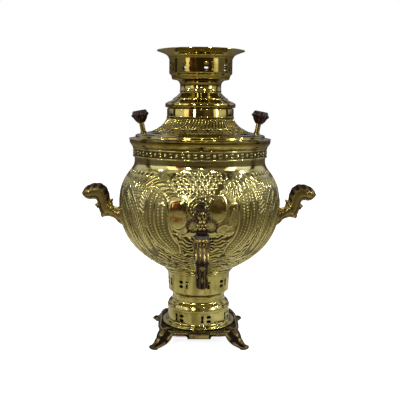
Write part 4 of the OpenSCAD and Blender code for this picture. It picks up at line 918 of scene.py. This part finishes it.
# tap
tapShape = {
    "plug": 146, "spout": 166.5, "axis": 165, "sides": 84, "flutes": 14, "fluteDepth": 0.12, "shankSides": 32,
    "spoutHalf": 9.1, "elbow": 9.5, "mouth": 120, "bore": 4.5, "plate": (17.6, 14.8), "plateSides": 144,
    # height, radius and fluting of the barrel's rings, up the outside and back at the bore
    "barrel": [(150, 8.6, 0), (150.5, 9.8, 0), (151.6, 10.4, 0), (152.8, 9.9, 0), (153.3, 9.5, 0.3),
        (154.4, 10.2, 1), (174.4, 10.2, 1), (175.6, 9.5, 0.3), (176.4, 9.9, 0), (177.4, 10.5, 0), (178.8, 10.5, 0),
        (179.8, 9.9, 0), (180, 9.4, 0), (180, 7.6, 0), (150, 6.4, 0)],
    # height and size of the spout's mouldings, going down
    "mouldings": [(154.9, 0.96), (153.6, 1.005), (152.4, 1.005), (151.6, 0.93), (149, 0.93), (138, 0.93),
        (127, 0.94), (124.4, 0.93), (122.6, 0.86), (121.2, 0.74), (120.4, 0.6), (120.05, 0.54)],
    # low plaques on the spout's front: place across, depth sunk, height and size
    "facets": [(0, 0.9, 147.2, (4.6, 5.2, 1.9)), (0, 0.8, 132.6, (2.4, 6.6, 1.7)),
        (-6.1, 2.6, 137, (1.3, 5.4, 2.2)), (6.1, 2.6, 137, (1.3, 5.4, 2.2))],
    # size, lift and ribbing of the leaf plate's rings
    "plateRings": [(0.30, 1.7, 0), (0.55, 1.7, 0.2), (0.68, 1.55, 0.7), (0.80, 1.5, 1), (0.90, 1.4, 1),
        (0.965, 1.0, 0.9), (1.0, 0.4, 0.4), (1.0, 0.08, 0), (0.30, 0.08, 0)],
    # distance out and radius of the shank's turning
    "shank": [(94, 8), (112.6, 8), (113, 12), (119.6, 12), (120.8, 11.4), (121.6, 9.6), (123, 9), (124.6, 9.8),
        (126.2, 9.8), (127.6, 8.6), (137, 8.2)]}


def closeSweep(bm, rings, lows):  # a sweep whose last ring is joined to its first, with no caps
    made = sweep(bm, rings, lows)
    sides = len(rings[0])
    caps = [face for face in bm.faces if len(face.verts) == sides and all(vert in made for vert in face.verts)]
    edges = list({edge for face in caps for edge in face.edges})
    bmesh.ops.delete(bm, geom=caps, context="FACES_ONLY")
    bmesh.ops.bridge_loops(bm, edges=edges)


def makeTap():
    shape = tapShape
    bm = bmesh.new()
    turns = turnsOf(shape["sides"])
    rings, lows = [], []
    for height, radius, fluted in shape["barrel"]:
        flute = np.abs(np.cos(turns * shape["flutes"] / 2)) ** 0.7
        rings.append(ringPoints((0, -shape["plug"], height), (radius, 0, 0), (0, radius, 0), turns,
                                1 - shape["fluteDepth"] * fluted * (1 - flute)))
        lows.append(np.clip(0.75 - 0.75 * fluted * (1 - flute) ** 0.6 - (0.5 if fluted == 0.3 else 0), 0, 1))
    closeSweep(bm, rings, lows)

    turns = turnsOf(shape["shankSides"])
    sweep(bm, [ringPoints((0, -out, shape["axis"]), (radius, 0, 0), (0, 0, radius), turns)
               for out, radius in shape["shank"]],
          [np.full(len(turns), 0.75 if radius > 9 else 0.3) for out, radius in shape["shank"]])

    # eight-sided spout: forward out of the barrel, round the elbow and down
    turns = np.radians(22.5 + 15 * np.arange(24))
    between = np.arange(24) % 3 > 0
    half, bend = shape["spoutHalf"], shape["elbow"]
    stations = [(shape["plug"] + 7.9, shape["axis"], 0, 0.68), (shape["plug"] + 9.6, shape["axis"], 0, 0.95),
                (shape["spout"] - bend, shape["axis"], 0, 0.98)]
    for turned in np.radians(np.linspace(15, 90, 6)):
        stations.append((shape["spout"] - bend + bend * math.sin(turned),
                         shape["axis"] - bend + bend * math.cos(turned), turned, 1.0))
    stations += [(shape["spout"], height, math.pi / 2, size) for height, size in shape["mouldings"]]
    stations += [(shape["spout"], shape["mouth"] + 0.05, math.pi / 2, shape["bore"] / half),
                 (shape["spout"], shape["mouth"] + 16, math.pi / 2, shape["bore"] / half)]
    rings, lows = [], []
    for out, height, turned, size in stations:
        elbow = height > 155.5  # above the straight part of the spout, where its corners are brighter
        swell = np.where(between, 0.932 * (0.93 if elbow else 0.965 if 0.9 < size < 1 else 1), 1)
        rings.append(ringPoints((0, -out, height), (half * size, 0, 0),
                                np.array([0, -math.sin(turned), math.cos(turned)]) * half * size, turns, swell))
        lows.append(np.where(between, 0.4 if elbow else 0.2,
                             1 if elbow else 0.1 if size > 1 else 0.05 if size < 0.6 else 0.42))
    sweep(bm, rings, lows)
    front = shape["spout"] + half * math.cos(math.radians(22.5))
    for x, sunk, height, scale in shape["facets"]:
        verts = bmesh.ops.create_cone(bm, cap_ends=True, segments=4, radius1=1, radius2=0.6, depth=1)["verts"]
        bmesh.ops.transform(bm, verts=verts, matrix=Matrix.Translation((x, sunk - front, height))
                            @ Matrix.Rotation(math.radians(90), 4, "X") @ Matrix.Diagonal((*scale, 1)))
        levelled(bm, verts, 1)
    finishPiece("tapBarrel", bm, ["tapBronze"], "samovar", "tap_body", 24)


def makePlate():  # a leaf that follows the bulb, ribbed like a shell
    shape = tapShape
    bm = bmesh.new()
    turns = turnsOf(shape["plateSides"])
    scallop = 1 + 0.05 * np.abs(np.cos(4.5 * (turns - np.pi / 2))) - 0.03
    rib = 0.5 + 0.5 * np.cos(18 * (turns - np.pi / 2))
    rings, lows = [], []
    for share, lift, ribbed in shape["plateRings"]:
        x = shape["plate"][0] * share * scallop * np.cos(turns)
        z = shape["axis"] + shape["plate"][1] * share * scallop * np.sin(turns)
        radius = np.interp(z, bulbLine[:, 1], bulbLine[:, 0]) + lift + ribbed * (0.95 * rib - 0.75)
        rings.append(np.stack([x, -np.sqrt(radius ** 2 - x ** 2), z], axis=1))
        lows.append(np.clip(0.4 * (1 - ribbed) + ribbed * rib, 0, 1))
    closeSweep(bm, rings, lows)
    finishPiece("leafPlate", bm, ["plateBronze"], "samovar", "tap_backplate", 60)


keyShape = {
    "stemSides": 28, "loopSteps": 60, "loopSides": 12, "foot": 185, "lobeAt": 11.4, "lobeHeight": 11.8, "topAt": 25,
    "lobe": 7.0, "wire": (2.7, 2.8),
    "spike": {"sides": 12, "rings": 5, "bow": 0, "thin": 0.92, "flat": 0.85, "curve": 1, "low": 0.2, "rise": 0.3},
    # root, tip and width of the spikes on the right
    "spikes": [((18.4, 11.4), (22.2, 12.2), 2.4), ((16.6, 5.8), (20.6, 1.6), 2.4),
        ((16.4, 16.6), (18.6, 20.2), 2.0), ((5.2, 31.6), (7.6, 34.6), 1.8)],
    "rosette": 12.2, "petalAt": (4.9, 2.0), "petal": 2.6, "eyeAt": 3.1, "eye": 2.3,
    # height above the foot, half width and half thickness of the flat stem
    "stem": [(0.0, 6.2, 6.2), (1.2, 7.3, 7.3), (2.6, 7.3, 7.3), (3.6, 6.4, 5.2), (4.8, 7.2, 3.0), (7, 8.4, 2.6),
        (11, 8.0, 2.7), (15, 6.2, 2.6), (18.4, 4.4, 2.5), (20.6, 3.2, 2.3)],
    "finial": [(33.2, 4.4, 2.6), (34.4, 3.0, 2.4), (35.2, 2.5, 2.3), (35.7, 3.6, 3.2), (36.4, 3.6, 3.2),
        (36.8, 2.8, 2.8), (37.6, 3.9, 3.6), (39.0, 4.9, 4.3), (40.4, 4.6, 4.1), (41.7, 3.2, 3.0), (42.7, 1.5, 1.5),
        (43, 0.3, 0.3)]}


def makeKey():
    shape = keyShape
    bm = bmesh.new()
    place = np.array([0, -tapShape["plug"], shape["foot"]])
    turns = turnsOf(shape["stemSides"])
    for line in (shape["stem"], shape["finial"]):
        line = softened(line, 3 * len(line))
        sweep(bm, [ringPoints(place + (0, 0, height), (wide, 0, 0), (0, thick, 0), turns)
                   for height, wide, thick in line],
              [np.full(len(turns), 0.22 + 0.16 * math.sin(2.1 * height)) for height, wide, thick in line])
    turns = turnsOf(shape["loopSides"])
    for x, height in ((-shape["lobeAt"], shape["lobeHeight"]), (shape["lobeAt"], shape["lobeHeight"]),
                      (0, shape["topAt"])):
        rings, lows = [], []
        for angle in turnsOf(shape["loopSteps"]):
            leave = np.array([math.cos(angle), 0, math.sin(angle)])
            notch = 1 + 0.05 * math.cos(12 * angle)
            rings.append(ringPoints(place + (x, 0, height) + leave * shape["lobe"], leave * shape["wire"][0] * notch,
                                    (0, shape["wire"][1], 0), turns))
            lows.append(np.clip(0.3 + 0.7 * np.clip(-np.cos(turns), 0, 1) ** 2 + 0.1 * math.cos(12 * angle), 0, 1))
        closeSweep(bm, rings, lows)
    for side in (-1, 1):
        for root, tip, width in shape["spikes"]:
            root, tip = (place + (side * point[0], 0, point[1]) for point in (root, tip))
            spike(bm, root, tip, width, shape["spike"])
        # rosettes of petals on both faces
        away, lift = shape["petalAt"]
        for turned in np.radians(np.arange(0, 360, 60)):
            ball(bm, place + (away * math.cos(turned), side * lift, shape["rosette"] + away * math.sin(turned)),
                 shape["petal"], 12, 8)
        ball(bm, place + (0, side * shape["eyeAt"], shape["rosette"]), shape["eye"], 14, 8)
    finishPiece("trefoilKey", bm, ["tapBronze"], "key", "tap_key", 50)


makeTap()
makePlate()
makeKey()
print("tap made")


def rounded(centre, radius, start, end, count=8):  # points along an arc, angles in degrees
    return [(centre[0] + radius * math.cos(math.radians(angle)), centre[1] + radius * math.sin(math.radians(angle)))
            for angle in np.linspace(start, end, count + 1)]


# turned pieces of the crown, lid and pedestal: CAD node, body, height, wall of the sheet and its line; without a wall
# the line is the closed outline
turnedPieces = {
    "crownTrumpet": ("crown_rim", "crown", 415, 1.04, [
        (46, 0), (46, 0.5), (46.3, 0.9), (46.8, 1.3), (47, 2), (46.9, 2.8),
        *cubic((48.4, 4.6), (50.6, 7.6), (55, 9.1), (64, 12.1), 14)]),
    "crownBowl": ("crown_neck", "crown", 368, 1.05, [
        (30.1, 0), (30.1, 0.8), (30.7, 1.4), (30.7, 2.4), (30.1, 3), (30.1, 10),
        *rounded((38.1, 10), 8, 175, 95, 12),
        (39.6, 18.1), (41.3, 18.6), (42, 19.2), (42.3, 20.4), (42.6, 22.6), (43.5, 24.4), (44.6, 25.6), (46, 27),
        (46, 28)]),
    "crownCone": ("crown_skirt", "crown", 345, 1.0, [
        (42, 0), (47.4, 0), (47.9, 0.9), (50, 1), (51, 1.5), (51.5, 2.6), (51.6, 4.5), (51.5, 6.3), (51, 7.4),
        (50, 8), (47.6, 9.4), (42.6, 11.4), (40.6, 12.6), (40.2, 13.1), (40.1, 14.3), (36.7, 16.5), (33.7, 19),
        (31.3, 21.4), (30.2, 22.5), (30.1, 23)]),
    "lidCollar": ("lid_cover", "lid", 0, 0, [
        (49.4, 331), (49.9, 331.4), (49.9, 332.4), (49.2, 332.9), (49, 334), (49, 343.6), (48.6, 344.7),
        (47.8, 345), (29.4, 345), (29, 344.8), (29, 343.8), (47.6, 343.8), (47.8, 343.4), (47.8, 332),
        (48.2, 331)]),
    "lidFlange": ("lid_cover", "lid", 0, 0, [
        (103.4, 299.98), (104.2, 300.0), (104.5, 300.4), (104.5, 300.9), (104.1, 301.2), (97.0, 302.5),
        (95.9, 302.7), (95.4, 303.2), (95.3, 304.4), (95.2, 305.4), (94.8, 306.2), (94.1, 306.6), (91.6, 307.1),
        (91.0, 306.7), (90.3, 306.8), (89.7, 307.5), (79.2, 309.5), (78.4, 309.2), (77.6, 309.4), (76.9, 310.3),
        (76.5, 310.45), (76.3, 309.4), (77.2, 308.5), (93.2, 305.5), (94.0, 304.8), (94.3, 302.0), (95.0, 301.5)]),
    "lidEdge": ("lid_rim", "lid", 290, 1.3, [
        (94.2, -8), (94.2, -0.6), (94.6, 0.02), (99.6, 0.02), (100.3, 0.4), (101.3, 2), (103.1, 4.6), (103.6, 6),
        (103.67, 8), (103.67, 9.85)]),
    "footMoulding": ("body_foot_ring", "samovar", 102.5, 0, [
        (44, 0), (47.4, 0), *rounded((47.4, 2), 2, -80, 80, 10), (47.6, 4.05), (50.4, 4.05),
        *rounded((50.55, 5.75), 1.75, -85, 85, 10), (50.4, 7.5), (44, 7.5)]),
    "waistTurning": ("pedestal_waist", "samovar", 46, 1.15, [
        (46.4, 0), (46.9, 0.4), (47, 1), (47, 5.2), (46.7, 6), (45.4, 7.4),
        *cubic((45.4, 8.6), (43.4, 12), (39.8, 12), (39.8, 16), 12),
        *cubic((39.8, 20), (39.8, 24.5), (42.5, 27), (45.8, 28.5), 12), (45.8, 30)]),
    "baseMoulding": ("base_ring", "samovar", 23, 0, [
        (45, 0.01), (50, 0.01), (50.2, 0.5), (51.4, 0.8), (53.2, 0.8), *rounded((53.2, 2.1), 1.3, -80, 90, 10),
        (51.7, 3.6), (51.4, 4.1), (50.4, 4.1), (49.9, 4.5), (48.2, 5), (47.3, 5.6), (47, 6.5), (45, 6.5)])}
for name, (node, body, foot, wall, line) in turnedPieces.items():
    line = np.array(line) + (0, foot)
    outline = np.concatenate([line, (line - outwards(line) * wall)[::-1]]) if wall else line
    spunRing(name, outline, 160, "turnedBrass" if body == "samovar" else "crownBrass", body, node, 50)
print("turned pieces made")

# embossed lid and beaded collar
lidShape = {
    "repeat": 12, "depth": 1.1, "wall": 1.15, "cells": (420, 96), "step": 0.3, "ridges": (311.2, 317),
    "lines": (310.9, 317.9, 319.6, 330.2), "floretAt": 313.9, "petals": (2.9, 3.8)}


def chaseLid(chart):
    rows, up = chart.up, chart.rows[:, None]
    chart.relief[:] = np.where((up > rows(311.3)) & (up < rows(316.9)), -1.0, 0)
    for height in lidShape["ridges"]:
        chart.ridge([(-16, height), (16, height)], 0.9)
    for height in lidShape["lines"]:
        chart.groove([(-16, height), (16, height)], 0.9, 0.8)
    travel, (across, along) = rows(lidShape["floretAt"]), lidShape["petals"]
    for angle in (-15, 0, 15):  # florets
        for turned in np.radians(np.arange(30, 360, 60)):
            chart.bead(angle + across * math.cos(turned), travel + along * math.sin(turned), 2.8)
        chart.bead(angle, travel, 2.2)
    for angle in (-7.5, 7.5):  # leaves between them
        for side in (-1, 1):
            for start, lean in ((0.4, 2.6), (0.9, 4.2), (1.6, 5.4)):
                chart.ridge([(angle + side * start * 0.8, 312 + start * 1.2),
                             (angle + side * lean * 0.62, 313.6 + start * 1.1)], 1.3)
        chart.ridge([(angle, 311.8), (angle, 316.4)], 1.3)
    for angle in np.arange(-15, 15, 5):  # long slanted strokes up the cone
        chart.groove([(angle, 318.9), (angle + 1.2, 322), (angle + 3.2, 325.6), (angle + 4.2, 329.4)], 1.9, 1.05)
        chart.groove([(angle + 2.6, 319.4), (angle + 3.7, 322), (angle + 5.6, 325)], 1.1, 0.7)


lidLine = joined(cubic((76.5, 310.45), (69.5, 311.45), (66, 314), (59, 318.4), 24),
                 cubic((58, 319.4), (53.6, 323), (50.5, 327), (49.4, 331), 24))
lidChart = Chart(lidLine, lidShape["repeat"], 0, -lidShape["depth"], lidShape["step"])
chaseLid(lidChart)
chasedSheets(("embossedLidFront", "embossedLidBack"), lidChart, lidShape["cells"], 4, lidShape["wall"],
             ["crownChased", "tinnedInside"], "lid", "lid_cover")

# a bead between two hooks, over and over, and a half-round rim at each edge
bandShape = {
    "repeat": 36, "depth": 1.15, "level": -0.9, "radius": 99.15, "inner": 96.6, "foot": 275.05, "top": 288.45,
    "cells": (1080, 44), "step": 0.3, "middle": 281.9, "hooks": ((-5, 60), (5, 250)), "hook": (1.35, 2.4),
    "rimAt": 0.95, "rim": 1.1}


def chaseBand(chart):
    travel, rim = chart.up(bandShape["middle"]), bandShape["rim"]
    chart.bead(0, travel, 3.5)
    chart.groove([(0, bandShape["middle"])], 1.3, 0.75)
    for angle, start in bandShape["hooks"]:
        turns = np.radians(start + np.linspace(0, 250, 10))
        wide, tall = bandShape["hook"]
        chart.ridge(np.stack([angle + wide * np.cos(turns), travel + tall * np.sin(turns)], axis=1), 1.7)
    low, high = bandShape["rimAt"], bandShape["top"] - bandShape["foot"] - bandShape["rimAt"]
    edge = np.minimum(abs(chart.rows - low), abs(chart.rows - high))[:, None]
    rims = np.where(edge < rim, np.sqrt(np.clip(rim ** 2 - edge ** 2, 0, 1)) * 0.95 - 1, -9)
    chart.relief[:] = np.maximum(chart.relief, rims)


bandLine = [(bandShape["radius"], height) for height in np.linspace(bandShape["foot"], bandShape["top"], 30)]
bandChart = Chart(bandLine, bandShape["repeat"], bandShape["level"], -bandShape["depth"], bandShape["step"])
chaseBand(bandChart)
chasedSheets(("beadedBandFront", "beadedBandBack"), bandChart, bandShape["cells"], 12,
             bandShape["radius"] - bandShape["inner"], ["chasedBrass", "spunBrass"], "samovar", "collar_band")
print("lid and collar embossed")

# base frame
frameShape = {
    "half": 60, "corner": 32, "hole": 18.02, "heights": (19.05, 22.95), "steps": 192,
    # tab and raised panel on each side: middle, size, how raised the metal takes them to be, and bevel
    "blocks": [((0, -56.2, 17.9), (33, 8, 9.6), 0.2, 0.9), ((0, -60.45, 17.8), (28.4, 1.5, 6), 1, 0.7)],
    # cove between tab and plate: centre and radius of its arc, the other corners, its front and depth
    "cove": (22.5, 13.1, 5.9), "coveCorners": ((22.4, 19.6), (15.5, 19.6), (15.5, 13.2)), "coveFront": -60.2,
    "coveDepth": 7.8,
    # distance in from the edge and height, from the top of the plate round the edge to its underside
    "edge": [(16, 22.95), (4.9, 22.95), (4.4, 23.5), (3.6, 24.1), (2.6, 24.2), (1.7, 23.9), (1.2, 23.3),
        (0.9, 22.8), (0.3, 22.4), (0.02, 21.6), (0.02, 20.6), (0.5, 20.0), (1.2, 19.6), (1.3, 19.0), (0.8, 18.5),
        (0.6, 17.7), (1.0, 17.0), (2.0, 16.6), (3.6, 16.7), (4.6, 17.4), (5.2, 19.05), (16, 19.05)],
    "lows": [0.5, 0.15, 0.5, 0.9, 1, 0.8, 0.2, 0.15, 0.7, 0.95, 0.7,
        0.3, 0.1, 0.1, 0.6, 0.9, 0.7, 0.4, 0.1, 0.1, 0, 0]}


def frameEdge(turned):  # distance of the rounded square's edge from its middle
    across, up = abs(math.cos(turned)), abs(math.sin(turned))
    straight = frameShape["half"] / max(across, up)
    inner = frameShape["half"] - frameShape["corner"]
    along = inner * (across + up)
    curved = along + math.sqrt(max(along ** 2 - 2 * inner ** 2 + frameShape["corner"] ** 2, 0))
    return straight if min(across, up) * straight <= inner else curved


def makeFrame():
    shape = frameShape
    bm = bmesh.new()
    rings = []
    low, high = ([(shape["hole"], height)] for height in shape["heights"])
    for turned in turnsOf(shape["steps"]):
        edge, corner = frameEdge(turned), abs(math.sin(2 * turned)) ** 6
        rim = [(edge - inset, height - (0.8 * corner if inset < 1.4 and height > 22 else 0))
               for inset, height in shape["edge"]]
        rings.append(np.array([(math.cos(turned) * radius, math.sin(turned) * radius, height)
                               for radius, height in high + rim + low]))
    closeSweep(bm, rings, [np.array([0.5] + shape["lows"] + [0])] * len(rings))
    middle, base, radius = shape["cove"]
    arc = [(middle - radius * math.cos(angle), base + radius * math.sin(angle))
           for angle in np.radians(np.linspace(0, 90, 9))]
    for turn in range(4):
        start = len(bm.verts)
        made = [block(bm, place, size) for place, size, level, bevel in shape["blocks"]]
        for verts, (place, size, level, bevel) in zip(made, shape["blocks"]):
            levelled(bm, verts, level)
            bmesh.ops.bevel(bm, geom=list({edge for vert in verts for edge in vert.link_edges}), offset=bevel,
                            segments=2, affect="EDGES", profile=0.5, material=-1)
        for side in (-1, 1):
            face = bm.faces.new([bm.verts.new((side * x, shape["coveFront"], height))
                                 for x, height in (*arc, *shape["coveCorners"])])
            grown = bmesh.ops.extrude_face_region(bm, geom=[face])["geom"]
            bmesh.ops.translate(bm, vec=(0, shape["coveDepth"], 0),
                                verts=[item for item in grown if isinstance(item, bmesh.types.BMVert)])
        bm.verts.ensure_lookup_table()
        bmesh.ops.rotate(bm, cent=(0, 0, 0), matrix=Matrix.Rotation(math.radians(90 * turn), 3, "Z"),
                         verts=bm.verts[start:])
    finishPiece("footedFrame", bm, ["wornBronze"], "samovar", "base_frame", 50)


makeFrame()
print("base frame made")

# the pieces that keep the shape of their CAD nodes
finishes = {"grate": "castIron", "ash_plate": "castIron", "tap_plug": "plugMetal", "plug_nut": "castBronze",
            "plug_washer": "castBronze", "foot_screws": "plugMetal", "base_screws": "plugMetal",
            "fire_tube": "tubeMetal", "tap_seal": "fibreSeal", "upper_gallery": "upperGalleryBrass",
            "lower_gallery": "lowerGalleryBrass", "crown_gallery": "crownBrass"}
for name, node in nodes.items():
    node.data.materials.clear()
    node.data.materials.append(paints[finishes.get(name, "spunBrass")])

print("dressed")
